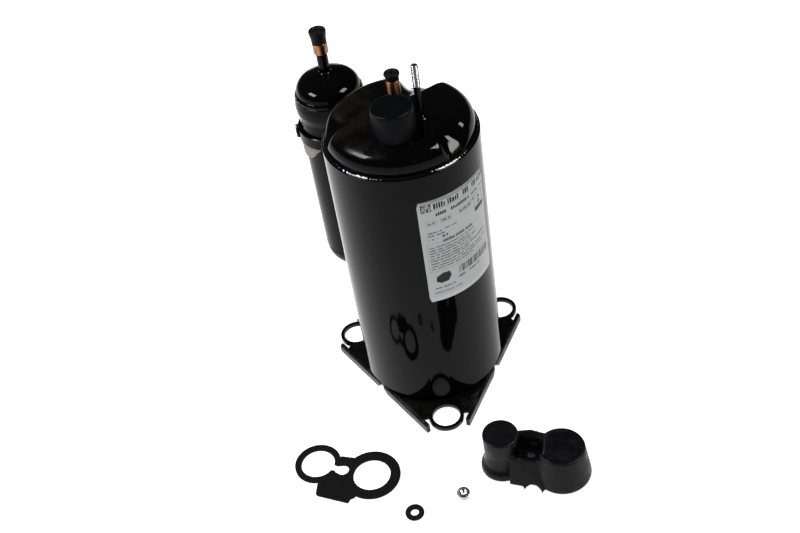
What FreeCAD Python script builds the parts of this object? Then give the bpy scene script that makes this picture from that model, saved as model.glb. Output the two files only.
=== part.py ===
import FreeCAD, Part
import math
import os

# Refrigeration rotary compressor with its suction accumulator and terminal cover kit.
# Millimetres, +Z up.  The origin is on the shell axis, in the top face of the foot plate.

Vec = FreeCAD.Vector
UP = Vec(0, 0, 1)

# ---- shell and caps ----
SHELL_R = 56.0
SHELL_WALL = 3.0
SHELL_BOTTOM = 4.7
RIM_Z = 221.0
BORE_R = SHELL_R - SHELL_WALL
PRESS_GAP = 0.1
CAP_R = BORE_R - PRESS_GAP
LID_RISE = 18.0
LID_SHOULDER = 12.9
LID_SKIRT = 13.0
NOTCH_ANGLES = (-47.0, 67.0, 181.0)
NOTCH_APEX = 35.5
NOTCH_APEX_Z = 14.0
NOTCH_FALL = 0.75
NOTCH_HALF_ANGLE = 36.0
SUMP_KNUCKLE = 16.0
SUMP_Z = -6.0
LID_Z = RIM_Z + LID_RISE

# ---- foot plate ----
PLATE_T = 3.0
PLATE_SIDE = 54.5
FLANGE_DEPTH = 8.0
FLANGE_END = 60.7
FLANGE_GAP = 2.5
EAR_CENTRE = 71.6
EAR_R = 13.8
FOOT_HOLE_R = 10.8
PLATE_OPENING = 49.6
SIDE_ANGLES = (-150.0, -30.0, 90.0)
EAR_ANGLES = (-90.0, 30.0, 150.0)
FLOOR_Z = -FLANGE_DEPTH

# ---- accumulator ----
ACC_ANGLE = 120.4
ACC_REACH = 92.4
ACC_WALL = 1.5
ACC_TOP = 213.3
ACC_LOW_SEAM = ACC_TOP - 142.0
ACC_BOTTOM = ACC_LOW_SEAM - 24.6
STRAP_LOW = ACC_TOP - 37.3
STRAP_HIGH = ACC_TOP - 28.2
SUCTION_Z = 28.0
ELBOW_R = 6.35
ELBOW_BEND = 18.0
ELBOW_WALL = 1.0

# ---- tubes, stud and terminal on the lid ----
TERMINAL = (-4.2, -27.0)
TERMINAL_R = 10.3
TERMINAL_CAP_R = 14.8
TERMINAL_CAP_H = 22.6
PIN_CIRCLE = 4.6
PIN_R = 1.6
STUD = (15.1, -13.1)
STUD_R = 2.5
STUD_H = 41.9
DISCHARGE_R = 4.75
DISCHARGE_TOP = RIM_Z + 43.7
SUCTION_TUBE_R = 4.25
SUCTION_END_R = 5.6
SUCTION_TOP = ACC_TOP + 43.2
TUBE_WALL = 0.8
PLUG_STEM = 7.0

# ---- pump ----
CYL_LOW = 20.5
CYL_HIGH = 35.5
CYL_R = 22.0
ROLLER_R = 17.0
ECCENTRICITY = 4.95
ECCENTRIC_R = 12.97
ROLLER_BORE = 13.0
ECCENTRIC_ANGLE = 225.0
JOURNAL_R = 8.0
LOWER_JOURNAL_R = 7.0
RUNNING_FIT = 0.02
SIDE_CLEARANCE = 0.04
BEARING_FLANGE_R = 34.0
BEARING_FLANGE_T = 6.5
HUB_R = 12.5
PUMP_BOLT_CIRCLE = 30.0
PUMP_BOLT_ANGLES = (162.0, 216.0, 270.0, 324.0, 18.0)
PUMP_BOLT_R = 2.5
VANE_ANGLE = 90.0
VANE_T = 3.2
VANE_LENGTH = 22.0
VANE_TIP = CYL_R + 0.05
SPRING_WIRE_R = 0.6
SPRING_MEAN_R = 2.6
SPRING_TURNS = 3.5
SPRING_END_GAP = 0.1
PORT_ANGLE = 68.0
PORT_REACH = 18.2
PORT_R = 3.0
REED_LENGTH = 22.0
REED_T = 0.35
REED_Z = 41.05
POCKET_Z = 40.5
STOP_GAP = 0.4
STOP_T = 1.4
STOP_TILT = 6.0
MUFFLER_R = 33.5
MUFFLER_H = 15.5
MUFFLER_WALL = 1.2

# ---- motor ----
STATOR_LOW = 92.0
STATOR_HIGH = 150.0
STATOR_BORE = 28.5
SLOT_COUNT = 24
ROTOR_R = 28.0
WINDING_H = 20.0
END_RING_H = 6.0
WEIGHT_H = 8.0
WEIGHT_SWEEP = 170.0
SHAFT_LOW = 1.0

# ---- loose terminal cover kit on the floor ----
SMALL_HUMP = (35.1, -123.4)
LARGE_HUMP = (76.9, -138.7)
SMALL_HUMP_H = 38.0
LARGE_HUMP_H = 30.8
COVER_WALL = 2.2
COVER_HOLE_R = 2.9
GASKET_SMALL = (-104.3, -92.3)
GASKET_LARGE = (-63.9, -111.8)
GASKET_T = 1.8
WASHER_AT = (-35.9, -152.4)
NUT_AT = (1.7, -144.5)


# ---- construction helpers ----
def polar(radius, degrees, z=0.0):
    a = math.radians(degrees)
    return Vec(radius * math.cos(a), radius * math.sin(a), z)


def disc(radius, low, high, at=(0.0, 0.0)):
    return Part.makeCylinder(radius, high - low, Vec(at[0], at[1], low))


def ring(outer, inner, low, high, at=(0.0, 0.0)):
    return disc(outer, low, high, at).cut(disc(inner, low - 1.0, high + 1.0, at))


def cone(r_low, r_high, low, high, at=(0.0, 0.0)):
    return Part.makeCone(r_low, r_high, high - low, Vec(at[0], at[1], low))


def turned(outline, at=(0.0, 0.0), sweep=360.0):
    # The outline is a list of (radius, z) corners; a triple ("arc", middle, end) adds a round stretch.
    here = outline[0]
    edges = []
    for step in list(outline[1:]) + [here]:
        if step[0] == "arc":
            pts = [Vec(p[0], 0, p[1]) for p in (here, step[1], step[2])]
            edges.append(Part.Arc(*pts).toShape())
            here = step[2]
        elif step != here:
            edges.append(Part.LineSegment(Vec(here[0], 0, here[1]), Vec(step[0], 0, step[1])).toShape())
            here = step
    body = Part.Face(Part.Wire(edges)).revolve(Vec(0, 0, 0), UP, sweep)
    body.translate(Vec(at[0], at[1], 0))
    return body


def prism(corners, low, high):
    pts = [Vec(x, y, low) for x, y in corners]
    return Part.Face(Part.makePolygon(pts + pts[:1])).extrude(Vec(0, 0, high - low))


def rotated(shape, degrees, about=Vec(0, 0, 0), axis=UP):
    turned_copy = shape.copy()
    turned_copy.rotate(about, axis, degrees)
    return turned_copy


def joined(shapes):
    result = shapes[0]
    for shape in shapes[1:]:
        result = result.fuse(shape)
    return result.removeSplitter()


def around(shape, angles):
    return [rotated(shape, a) for a in angles]


def radial_bar(radius, start, end, degrees, z):
    # A round bar that lies along a radius of the shell.
    direction = polar(1.0, degrees)
    return Part.makeCylinder(radius, end - start, polar(start, degrees, z), direction)


def rounded_path(points, bend):
    # Straight runs joined by tangent arcs of one bend radius.
    edges = []
    here = points[0]
    for before, corner, after in zip(points, points[1:], points[2:]):
        back = (before - corner).normalize()
        ahead = (after - corner).normalize()
        half = back.getAngle(ahead) / 2
        reach = bend / math.tan(half)
        middle = (back + ahead).normalize()
        centre = corner + middle * (bend / math.sin(half))
        first = corner + back * reach
        last = corner + ahead * reach
        edges.append(Part.LineSegment(here, first).toShape())
        edges.append(Part.Arc(first, centre - middle * bend, last).toShape())
        here = last
    edges.append(Part.LineSegment(here, points[-1]).toShape())
    return Part.Wire(edges)


def wire_rod(points, bend, radius):
    path = rounded_path(points, bend)
    section = Part.Wire(Part.Circle(points[0], points[1] - points[0], radius).toShape())
    return path.makePipeShell([section], True, True)


def export(make):
    # Each maker's name is its part's name; a maker of several equal pieces gives a list.
    made = make()
    shape = Part.makeCompound(made) if isinstance(made, list) else made
    name = make.__name__
    if not shape.isValid():
        raise ValueError(name + " is not a valid shape")
    shape.exportStep(os.path.join("parts", name + ".step"))
    box = shape.BoundBox
    print("%-18s solids %2d  volume %9.1f  z %7.2f to %7.2f"
          % (name, len(shape.Solids), shape.Volume, box.ZMin, box.ZMax))


# ---- shell, caps and welds ----
def shell_tube():
    tube = ring(SHELL_R, BORE_R, SHELL_BOTTOM, RIM_Z)
    return tube.cut(radial_bar(9.0, 40.0, 70.0, ACC_ANGLE, SUCTION_Z))


def lid_blank(grow):
    # Solid dome: grow 0 is the outer face of the lid, grow -SHELL_WALL its inner face.
    radius = LID_SHOULDER + grow
    inner = CAP_R - LID_SHOULDER
    low = RIM_Z - LID_SKIRT + min(0.0, grow)
    centre_z = LID_Z - LID_SHOULDER
    bend = radius * math.sqrt(0.5)
    return turned([(0, low), (inner + radius, low), (inner + radius, centre_z),
                   ("arc", (inner + bend, centre_z + bend), (inner, centre_z + radius)),
                   (0, centre_z + radius)])


def lid_notch(grow):
    # Wedge-shaped dent with a sloping floor; grow is how far its faces move into the lid.
    apex = NOTCH_APEX - grow / math.sin(math.radians(NOTCH_HALF_ANGLE))
    drop = grow * math.sqrt(1 + NOTCH_FALL ** 2)
    spread = math.tan(math.radians(NOTCH_HALF_ANGLE))
    far = SHELL_R + 10.0
    half = (far - apex) * spread
    wedge = prism([(apex, 0), (far, -half), (far, half)], RIM_Z - 40.0, LID_Z + 5.0)
    apex_z = RIM_Z + NOTCH_APEX_Z - drop + NOTCH_FALL * (NOTCH_APEX - apex)
    far_z = apex_z - NOTCH_FALL * (far - apex)
    corners = [Vec(apex, -half, LID_Z + 5), Vec(apex, -half, apex_z),
               Vec(far, -half, far_z), Vec(far, -half, LID_Z + 5)]
    side = Part.Face(Part.makePolygon(corners + corners[:1])).extrude(Vec(0, 2 * half, 0))
    return wedge.common(side)


def top_cap():
    outer = lid_blank(0.0)
    inner = lid_blank(-SHELL_WALL)
    for angle in NOTCH_ANGLES:
        outer = outer.cut(rotated(lid_notch(0.0), angle))
        inner = inner.cut(rotated(lid_notch(SHELL_WALL), angle))
    lid = outer.cut(inner)
    lid = lid.cut(disc(TERMINAL_R + 0.1, RIM_Z, LID_Z + 5, TERMINAL))
    return lid.cut(disc(DISCHARGE_R - 0.75, RIM_Z, LID_Z + 5))


def sump_blank(grow):
    radius = SUMP_KNUCKLE + grow
    inner = CAP_R - SUMP_KNUCKLE
    centre_z = SUMP_Z + SUMP_KNUCKLE
    bend = radius * math.sqrt(0.5)
    high = 19.5 - min(0.0, grow)
    return turned([(0, centre_z - radius), (inner, centre_z - radius),
                   ("arc", (inner + bend, centre_z - bend), (inner + radius, centre_z)),
                   (inner + radius, high), (0, high)])


def bottom_cap():
    return sump_blank(0.0).cut(sump_blank(-SHELL_WALL))


def rim_weld():
    reach = 2.6
    bead = turned([(CAP_R, RIM_Z), (CAP_R + reach, RIM_Z),
                   ("arc", (CAP_R + 0.8 * reach, RIM_Z + 0.75 * reach), (CAP_R, RIM_Z + reach))])
    notches = [rotated(lid_notch(-0.6), a) for a in NOTCH_ANGLES]
    return bead.cut(Part.makeCompound(notches))


def bottom_weld():
    bead = turned([(50.0, SHELL_BOTTOM), (55.4, SHELL_BOTTOM),
                   ("arc", (54.2, SHELL_BOTTOM - 1.5), (50.0, SHELL_BOTTOM - 2.4))])
    return bead.cut(sump_blank(0.0))


def foot_weld():
    bead = turned([(47.5, 0.0), (53.0, 0.0), ("arc", (51.4, 0.9), (50.2, 2.0)), (47.5, 2.0)])
    return bead.cut(sump_blank(0.0))


def rating_label():
    film = 0.15
    sector = turned([(SHELL_R, 107.6), (SHELL_R + film, 107.6), (SHELL_R + film, 199.8),
                     (SHELL_R, 199.8)], sweep=63.6)
    return rotated(sector, -88.6)


# ---- foot plate ----
def flange(angle):
    # One half-side flange, drawn along +Y on the +X side, then turned to its side of the plate.
    start = PLATE_SIDE - PLATE_T
    bend = PLATE_T * math.sqrt(0.5)
    face = Part.Face(Part.Wire([
        Part.LineSegment(Vec(start, 0, 0), Vec(start, 0, -FLANGE_DEPTH)).toShape(),
        Part.LineSegment(Vec(start, 0, -FLANGE_DEPTH), Vec(PLATE_SIDE, 0, -FLANGE_DEPTH)).toShape(),
        Part.LineSegment(Vec(PLATE_SIDE, 0, -FLANGE_DEPTH), Vec(PLATE_SIDE, 0, -PLATE_T)).toShape(),
        Part.Arc(Vec(PLATE_SIDE, 0, -PLATE_T), Vec(start + bend, 0, -PLATE_T + bend),
                 Vec(start, 0, 0)).toShape()]))
    bar = face.extrude(Vec(0, FLANGE_END - FLANGE_GAP, 0))
    bar.translate(Vec(0, FLANGE_GAP, 0))
    corner = [Vec(start - 1, FLANGE_GAP, -FLANGE_DEPTH), Vec(start - 1, FLANGE_GAP + 4, -FLANGE_DEPTH),
              Vec(start - 1, FLANGE_GAP, -FLANGE_DEPTH + 4)]
    cut = Part.Face(Part.makePolygon(corner + corner[:1])).extrude(Vec(PLATE_T + 2, 0, 0))
    half = bar.cut(cut)
    other = half.mirror(Vec(0, 0, 0), Vec(0, 1, 0))
    return [rotated(half, angle), rotated(other, angle)]


def foot_plate():
    side = PLATE_SIDE - PLATE_T
    corner_reach = EAR_CENTRE - 1.0
    along = (corner_reach - side / 2) / math.cos(math.radians(30))
    corners = []
    for angle in SIDE_ANGLES:
        base = polar(side, angle)
        run = polar(along, angle + 90)
        corners += [(base - run), (base + run)]
    web = prism([(c.x, c.y) for c in corners], -PLATE_T, 0)
    bridges = around(Part.makeBox(4.0, 2 * FLANGE_GAP, PLATE_T, Vec(49.6, -FLANGE_GAP, -PLATE_T)),
                     SIDE_ANGLES)
    ears = [disc(EAR_R, -PLATE_T, 0, polar(EAR_CENTRE, a)) for a in EAR_ANGLES]
    flanges = [piece for a in SIDE_ANGLES for piece in flange(a)]
    plate = joined([web] + bridges + ears + flanges)
    for angle in EAR_ANGLES:
        plate = plate.cut(disc(FOOT_HOLE_R, -20, 10, polar(EAR_CENTRE, angle)))
    return plate.cut(disc(PLATE_OPENING, -20, 10))


# ---- lid fittings ----
def discharge_tube():
    wall = TUBE_WALL
    lower = DISCHARGE_R - 0.75
    step = LID_Z + 5.0
    return turned([(lower - wall, RIM_Z - 4), (lower, RIM_Z - 4), (lower, step),
                   (DISCHARGE_R, step + 1.5), (DISCHARGE_R, DISCHARGE_TOP),
                   (DISCHARGE_R - wall, DISCHARGE_TOP), (DISCHARGE_R - wall, step + 1.8),
                   (lower - wall, step + 0.3)])


def tube_plug(bore, seat, neck, head, height, at):
    # Tapered rubber plug: a stem in the tube, a flared head above it, a dimple and a ring on top.
    top = seat + height
    low = seat - PLUG_STEM
    stem = bore - 0.1
    return turned([(0, low), (stem - 0.5, low), (stem, low + 1), (stem, seat + 0.05),
                   (neck, seat + 0.05), (head, top - 1.6),
                   ("arc", (head - 0.2, top - 0.6), (head - 0.8, top)),
                   (0.66 * head, top), (0.60 * head, top - 0.6), (0.34 * head, top - 0.6),
                   (0.30 * head, top - 1.8), (0, top - 1.8)], at)


def discharge_plug():
    return tube_plug(DISCHARGE_R - TUBE_WALL, DISCHARGE_TOP, 4.5, 5.6, 5.6, (0.0, 0.0))


def suction_plug():
    return tube_plug(SUCTION_END_R - TUBE_WALL, SUCTION_TOP, 5.2, 6.5, 10.6, acc_place())


def cover_stud():
    top = LID_Z + STUD_H
    return turned([(0, LID_Z), (4.0, LID_Z), (3.6, LID_Z + 1.2), (STUD_R, LID_Z + 1.6),
                   (STUD_R, top - 1.2), ("arc", (0.84 * STUD_R, top - 0.4), (0.5 * STUD_R, top)),
                   (0, top)], STUD)


def pin_places():
    return [(TERMINAL[0] + p.x, TERMINAL[1] + p.y)
            for p in (polar(PIN_CIRCLE, a) for a in (90.0, 210.0, 330.0))]


def terminal_body():
    low = LID_Z - 4.6
    shelf = LID_Z - SHELL_WALL - 0.1
    cup = turned([(8.8, low), (12.6, low), (12.6, shelf), (TERMINAL_R, shelf),
                  (TERMINAL_R, LID_Z + 0.9),
                  ("arc", (TERMINAL_R - 0.2, LID_Z + 1.3), (TERMINAL_R - 0.6, LID_Z + 1.5)),
                  (0, LID_Z + 1.5), (0, LID_Z - 0.5), (8.8, LID_Z - 0.5)], TERMINAL)
    for at in pin_places():
        cup = cup.cut(disc(PIN_R + 1.2, LID_Z - 3, LID_Z + 3, at))
    return cup


def terminal_glass():
    return [ring(PIN_R + 1.2, PIN_R, LID_Z - 0.9, LID_Z + 2.1, at) for at in pin_places()]


def terminal_pins():
    pins = []
    for at in pin_places():
        pin = disc(PIN_R, RIM_Z + 3, LID_Z + 13, at)
        tab = Part.makeBox(4.8, 0.8, 9.0, Vec(at[0] - 2.4, at[1] - PIN_R - 0.3, LID_Z + 5))
        pins.append(pin.fuse(tab))
    return pins


def terminal_cap():
    low = LID_Z + 0.05
    top = LID_Z + TERMINAL_CAP_H
    edge = 1.6
    return turned([(12.4, low), (TERMINAL_CAP_R, low), (TERMINAL_CAP_R, top - edge),
                   ("arc", (TERMINAL_CAP_R - 0.3 * edge, top - 0.3 * edge), (TERMINAL_CAP_R - edge, top)),
                   (0, top), (0, top - 2.4), (12.4, top - 2.4)], TERMINAL)


def lead_connector():
    block = disc(9.0, RIM_Z - 5, RIM_Z + 6, TERMINAL)
    for at in pin_places():
        block = block.cut(disc(PIN_R, RIM_Z + 3, RIM_Z + 7, at))
    return block


def lead_wires():
    rods = []
    for at, angle in zip(pin_places(), (-92.0, -104.0, -80.0)):
        start = Vec(at[0], at[1], RIM_Z - 5)
        end = polar(39.0, angle, STATOR_HIGH + WINDING_H)
        drop = Vec(0, 0, -12)
        rods.append(wire_rod([start, start + drop, end - drop, end], 4.0, 1.3))
    return rods


# ---- accumulator ----
def acc_place():
    p = polar(ACC_REACH, ACC_ANGLE)
    return (p.x, p.y)


def acc_wall_line(inset):
    # The canister's side from its lower seam to the rolled rim, set in by a wall thickness.
    r = ACC_TOP
    steps = [(26.2, -142), (26.2, -24), (25.4, -21), (25.4, -15), (27.3, -8.5), (27.3, -5.5),
             (26.3, 1)]
    return [(radius - inset, r + z) for radius, z in steps]


def acc_body():
    outline = acc_wall_line(0.0) + acc_wall_line(ACC_WALL)[::-1]
    return turned(outline, acc_place())


def acc_top_dome():
    r = ACC_TOP
    hole = SUCTION_TUBE_R
    return turned([(22.7, r - 3), (24.7, r - 3), (24.7, r + 5),
                   ("arc", (22.3, r + 11), (17.1, r + 14.6)),
                   ("arc", (9.0, r + 17.3), (hole, r + 18.2)), (hole, r + 16.2),
                   ("arc", (8.6, r + 15.4), (16.3, r + 12.8)), ("arc", (20.7, r + 9.6), (22.7, r + 5))],
                  acc_place())


def acc_top_weld():
    r = ACC_TOP
    return turned([(24.7, r + 1), (26.3, r + 1), ("arc", (26.5, r + 3.4), (24.7, r + 5))], acc_place())


def acc_bottom_dome():
    r = ACC_LOW_SEAM
    hole = ELBOW_R
    return turned([(24.6, r + 7), (24.6, r - 0.1), (25.9, r - 0.1), (25.7, r - 3),
                   ("arc", (24.6, r - 8.5), (22.4, r - 12.4)),
                   ("arc", (16.7, r - 19.6), (hole, r - 24.6)),
                   (hole, r - 22.9), ("arc", (15.6, r - 18.1), (20.9, r - 11.6)),
                   ("arc", (22.6, r - 7.6), (23.1, r - 3)), (23.1, r + 7)], acc_place())


def acc_standpipe():
    pipe = ring(ELBOW_R, ELBOW_R - ELBOW_WALL, ACC_BOTTOM + 7.0, ACC_TOP - 32.0, acc_place())
    at = acc_place()
    bleed = Part.makeCylinder(1.0, 20, Vec(at[0], at[1], ACC_BOTTOM + 14.0), Vec(1, 0, 0))
    return pipe.cut(bleed)


def acc_screen():
    plate = disc(23.8, ACC_TOP - 19.0, ACC_TOP - 18.0, acc_place())
    centre = Vec(acc_place()[0], acc_place()[1], 0)
    for count, circle in ((6, 8.0), (12, 17.0)):
        for k in range(count):
            hole = centre + polar(circle, 360.0 * k / count)
            plate = plate.cut(disc(2.6, ACC_TOP - 25, ACC_TOP - 10, hole))
    return plate


def acc_sector(outer, inner, low, high, start, sweep):
    piece = turned([(inner, low), (outer, low), (outer, high), (inner, high)], sweep=sweep)
    piece = rotated(piece, start)
    piece.translate(Vec(acc_place()[0], acc_place()[1], 0))
    return piece


def acc_strap():
    # A steel band round the canister, with a turned-out lug at each end of its split.
    band = acc_sector(29.0, 27.7, STRAP_LOW, STRAP_HIGH, -176.0, 352.0)
    lugs = []
    for side in (-1, 1):
        lug = Part.makeBox(6.0, 1.6, STRAP_HIGH - STRAP_LOW, Vec(27.8, -0.8 + 2.2 * side, STRAP_LOW))
        lug = rotated(lug, 180.0)
        lug.translate(Vec(acc_place()[0], acc_place()[1], 0))
        lugs.append(lug)
    hole = Part.makeCylinder(1.2, 20.0, strap_bolt_place() + Vec(0, 10, 0), Vec(0, -1, 0))
    return joined([band] + lugs).cut(hole)


def strap_bolt_place():
    return Vec(acc_place()[0] - 31.4, acc_place()[1], (STRAP_LOW + STRAP_HIGH) / 2)


def acc_strap_bolt():
    at = strap_bolt_place()
    shank = Part.makeCylinder(1.2, 9.0, at + Vec(0, 5.5, 0), Vec(0, -1, 0))
    head = Part.makeCylinder(2.3, 2.0, at + Vec(0, -3.05, 0), Vec(0, -1, 0))
    nut = Part.makeCylinder(2.3, 1.8, at + Vec(0, 4.85, 0), Vec(0, -1, 0))
    return joined([shank, head, nut])


def acc_strap_pad():
    # A felt pad under the band; its pointed end hangs below the band.
    band = acc_sector(27.65, 26.25, STRAP_LOW - 0.5, STRAP_HIGH + 0.5, -176.0, 352.0)
    tongue = acc_sector(27.65, 26.25, ACC_TOP - 52.0, STRAP_LOW - 0.5, -178.0, 53.0)
    at = acc_place()
    slope = [(-80, ACC_TOP - 39.0), (-20, ACC_TOP - 61.0), (-20, ACC_TOP - 83.0), (-80, ACC_TOP - 83.0)]
    pts = [Vec(at[0] + x + 8, at[1] - 45, z) for x, z in slope]
    tongue = tongue.cut(Part.Face(Part.makePolygon(pts + pts[:1])).extrude(Vec(0, 60, 0)))
    return band.fuse(tongue).removeSplitter()


def acc_bracket():
    # A welded saddle: a foot on the shell, a web, and two arms that cradle the canister.
    low = ACC_TOP - 64.0
    high = STRAP_LOW - 1.2
    facing = ACC_ANGLE + 180.0
    cradle = acc_sector(28.0, 26.3, low, high, facing - 62.0, 124.0)
    foot = turned([(SHELL_R, low), (SHELL_R + 1.7, low), (SHELL_R + 1.7, high), (SHELL_R, high)],
                  sweep=52.0)
    foot = rotated(foot, ACC_ANGLE - 26.0)
    web = Part.makeBox(8.4, 22.0, high - low, Vec(SHELL_R + 0.6, -11.0, low))
    web = rotated(web, ACC_ANGLE)
    web = web.cut(disc(SHELL_R, low - 5, high + 5)).cut(disc(27.9, low - 5, high + 5, acc_place()))
    window = rotated(Part.makeBox(20.0, 14.0, 10.0, Vec(SHELL_R - 3, -7.0, low + 6)), ACC_ANGLE)
    return joined([cradle, foot, web]).cut(window)


# ---- suction line ----
def suction_tube():
    wall = TUBE_WALL
    low = ACC_TOP + 10.0
    step = ACC_TOP + 33.2
    r = SUCTION_TUBE_R
    end = SUCTION_END_R
    return turned([(r - wall, low), (r, low), (r, step), (end, step + 2.2), (end, SUCTION_TOP),
                   (end - wall, SUCTION_TOP), (end - wall, step + 2.5), (r - wall, step + 0.3)], acc_place())


def elbow_core(radius, taper_r):
    # Centre line: down from the canister, a quarter bend, then level into the pump.
    at = acc_place()
    bend_z = SUCTION_Z + ELBOW_BEND
    down = disc(radius, bend_z, ACC_BOTTOM + 7.0, at)
    circle = Part.Face(Part.Wire(Part.Circle(Vec(at[0], at[1], bend_z), UP, radius).toShape()))
    centre = polar(ACC_REACH - ELBOW_BEND, ACC_ANGLE, bend_z)
    bend = circle.revolve(centre, polar(1.0, ACC_ANGLE + 90), 90)
    level = radial_bar(radius, 57.5, ACC_REACH - ELBOW_BEND, ACC_ANGLE, SUCTION_Z)
    taper = Part.makeCone(radius, taper_r, 4.0, polar(57.5, ACC_ANGLE, SUCTION_Z), polar(-1.0, ACC_ANGLE))
    tail = radial_bar(taper_r, 38.0, 53.5, ACC_ANGLE, SUCTION_Z)
    return joined([down, bend, level, taper, tail])


def suction_elbow():
    return elbow_core(ELBOW_R, 5.0).cut(elbow_core(ELBOW_R - ELBOW_WALL, 4.1))


def suction_fitting():
    sleeve = radial_bar(9.0, 53.3, 64.0, ACC_ANGLE, SUCTION_Z)
    sleeve = sleeve.cut(elbow_core(ELBOW_R, 5.0))
    bead = radial_bar(11.2, 55.2, 58.0, ACC_ANGLE, SUCTION_Z).cut(disc(SHELL_R, 0, 60))
    return joined([sleeve, bead.cut(radial_bar(9.0, 50.0, 64.0, ACC_ANGLE, SUCTION_Z))])


# ---- pump ----
def pump_bolt_holes(low, high):
    return Part.makeCompound([disc(PUMP_BOLT_R, low, high, polar(PUMP_BOLT_CIRCLE, a))
                              for a in PUMP_BOLT_ANGLES])


def cylinder_block():
    block = ring(BORE_R, CYL_R, CYL_LOW, CYL_HIGH)
    slot = Part.makeBox(VANE_LENGTH + 6.0, VANE_T + 0.06, CYL_HIGH - CYL_LOW + 2,
                        Vec(17.0, -VANE_T / 2 - 0.03, CYL_LOW - 1))
    block = block.cut(rotated(slot, VANE_ANGLE))
    block = block.cut(radial_bar(3.5, 36.0, 60.0, VANE_ANGLE, SUCTION_Z))
    block = block.cut(radial_bar(5.0, 15.0, 60.0, ACC_ANGLE, SUCTION_Z))
    drain = Part.makeBox(20.0, 34.0, 40.0, Vec(44.0, -17.0, 10.0))
    for angle in (0.0, -90.0, 189.0):
        block = block.cut(rotated(drain, angle))
    return block.cut(pump_bolt_holes(0, 60))


def port_place(ahead=0.0):
    # The reed runs from the discharge port at right angles to the port's radius.
    p = polar(PORT_REACH, PORT_ANGLE) + polar(ahead, PORT_ANGLE + 90)
    return (p.x, p.y)


def reed_outline(width, low, high, back):
    bar = Part.makeBox(width, REED_LENGTH, high - low, Vec(PORT_REACH - width / 2, 0, low))
    tail = Part.makeBox(width, back, high - low, Vec(PORT_REACH - width / 2, REED_LENGTH, low))
    tongue = rotated(joined([bar, tail]), PORT_ANGLE)
    return tongue


def main_bearing():
    top = CYL_HIGH + BEARING_FLANGE_T
    body = disc(BEARING_FLANGE_R, CYL_HIGH, top).fuse(disc(HUB_R, CYL_HIGH, 74.0))
    body = body.cut(disc(JOURNAL_R + RUNNING_FIT, 0, 100))
    pocket = joined([reed_outline(9.6, POCKET_Z, top + 1, 4.5),
                     disc(5.2, POCKET_Z, top + 1, port_place())])
    pocket = pocket.cut(disc(HUB_R, 0, 100))
    seat = disc(PORT_R + 1.1, POCKET_Z - 0.5, REED_Z - 0.05, port_place())
    body = body.cut(pocket).fuse(seat)
    body = body.cut(disc(PORT_R, 0, 100, port_place()))
    body = body.cut(disc(1.5, 36.0, 50.0, port_place(REED_LENGTH)))
    return body.cut(pump_bolt_holes(0, 60))


def sub_bearing():
    low = CYL_LOW - BEARING_FLANGE_T
    body = disc(BEARING_FLANGE_R, low, CYL_LOW).fuse(disc(HUB_R - 0.5, 3.0, CYL_LOW))
    body = body.cut(disc(LOWER_JOURNAL_R + RUNNING_FIT, 0, 100))
    return body.cut(pump_bolt_holes(0, 60))


def pump_bolts():
    bolts = []
    for angle in PUMP_BOLT_ANGLES:
        at = polar(PUMP_BOLT_CIRCLE, angle)
        low = CYL_LOW - BEARING_FLANGE_T
        head = disc(4.2, low - 4.0, low, at).cut(disc(2.2, low - 5.0, low - 2.0, at))
        bolts.append(head.fuse(disc(PUMP_BOLT_R, low, CYL_HIGH + BEARING_FLANGE_T, at)))
    return bolts


def muffler_cover():
    low = CYL_HIGH + BEARING_FLANGE_T
    wall = MUFFLER_WALL
    top = low + MUFFLER_H
    outer = turned([(0, low), (MUFFLER_R, low), (MUFFLER_R, low + 6), (24.5, top - 2.5),
                    ("arc", (22.6, top - 0.7), (20.0, top)), (0, top)])
    inner = turned([(0, low - 1), (MUFFLER_R - wall, low - 1), (MUFFLER_R - wall, low + 5.4),
                    (23.8, top - 3.5), ("arc", (22.0, top - wall - 0.6), (19.8, top - wall)),
                    (0, top - wall)])
    cover = outer.cut(inner).cut(disc(HUB_R + wall, 0, 100))
    for angle in (200.0, 340.0):
        cover = cover.cut(disc(2.6, low + 10, low + 20, polar(17.6, angle)))
    return cover


def eccentric_axis():
    p = polar(ECCENTRICITY, ECCENTRIC_ANGLE)
    return (p.x, p.y)


def crankshaft():
    upper = disc(JOURNAL_R, CYL_HIGH - 0.3, STATOR_HIGH + END_RING_H + 4)
    lower = disc(LOWER_JOURNAL_R, SHAFT_LOW, CYL_LOW + 0.3)
    lobe = disc(ECCENTRIC_R, CYL_LOW + 0.3, CYL_HIGH - 0.3, eccentric_axis())
    shaft = joined([lower, lobe, upper])
    shaft = shaft.cut(disc(2.6, SHAFT_LOW - 1, 64.0))
    return shaft.cut(Part.makeCylinder(1.2, 20.0, Vec(0, 0, 45.0), Vec(1, 0, 0)))


def oil_paddle():
    return Part.makeBox(5.0, 0.8, 40.0, Vec(-2.5, -0.4, SHAFT_LOW))


def roller():
    low = CYL_LOW + SIDE_CLEARANCE
    return ring(ROLLER_R, ROLLER_BORE, low, CYL_HIGH - SIDE_CLEARANCE, eccentric_axis())


def vane():
    # A flat blade whose inner edge is rounded; it lies along the vane radius, tip just outside the bore.
    half = VANE_T / 2
    nose = 2.0
    pts = [Vec(VANE_TIP + nose, -half, 0), Vec(VANE_TIP + VANE_LENGTH, -half, 0),
           Vec(VANE_TIP + VANE_LENGTH, half, 0), Vec(VANE_TIP + nose, half, 0)]
    edges = [Part.LineSegment(pts[k], pts[k + 1]).toShape() for k in range(3)]
    edges.append(Part.Arc(pts[3], Vec(VANE_TIP + 0.6, 0, 0), pts[0]).toShape())
    height = CYL_HIGH - CYL_LOW - 2 * SIDE_CLEARANCE
    blade = Part.Face(Part.Wire(edges)).extrude(Vec(0, 0, height))
    blade.translate(Vec(0, 0, CYL_LOW + SIDE_CLEARANCE))
    return rotated(blade, VANE_ANGLE)


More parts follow.
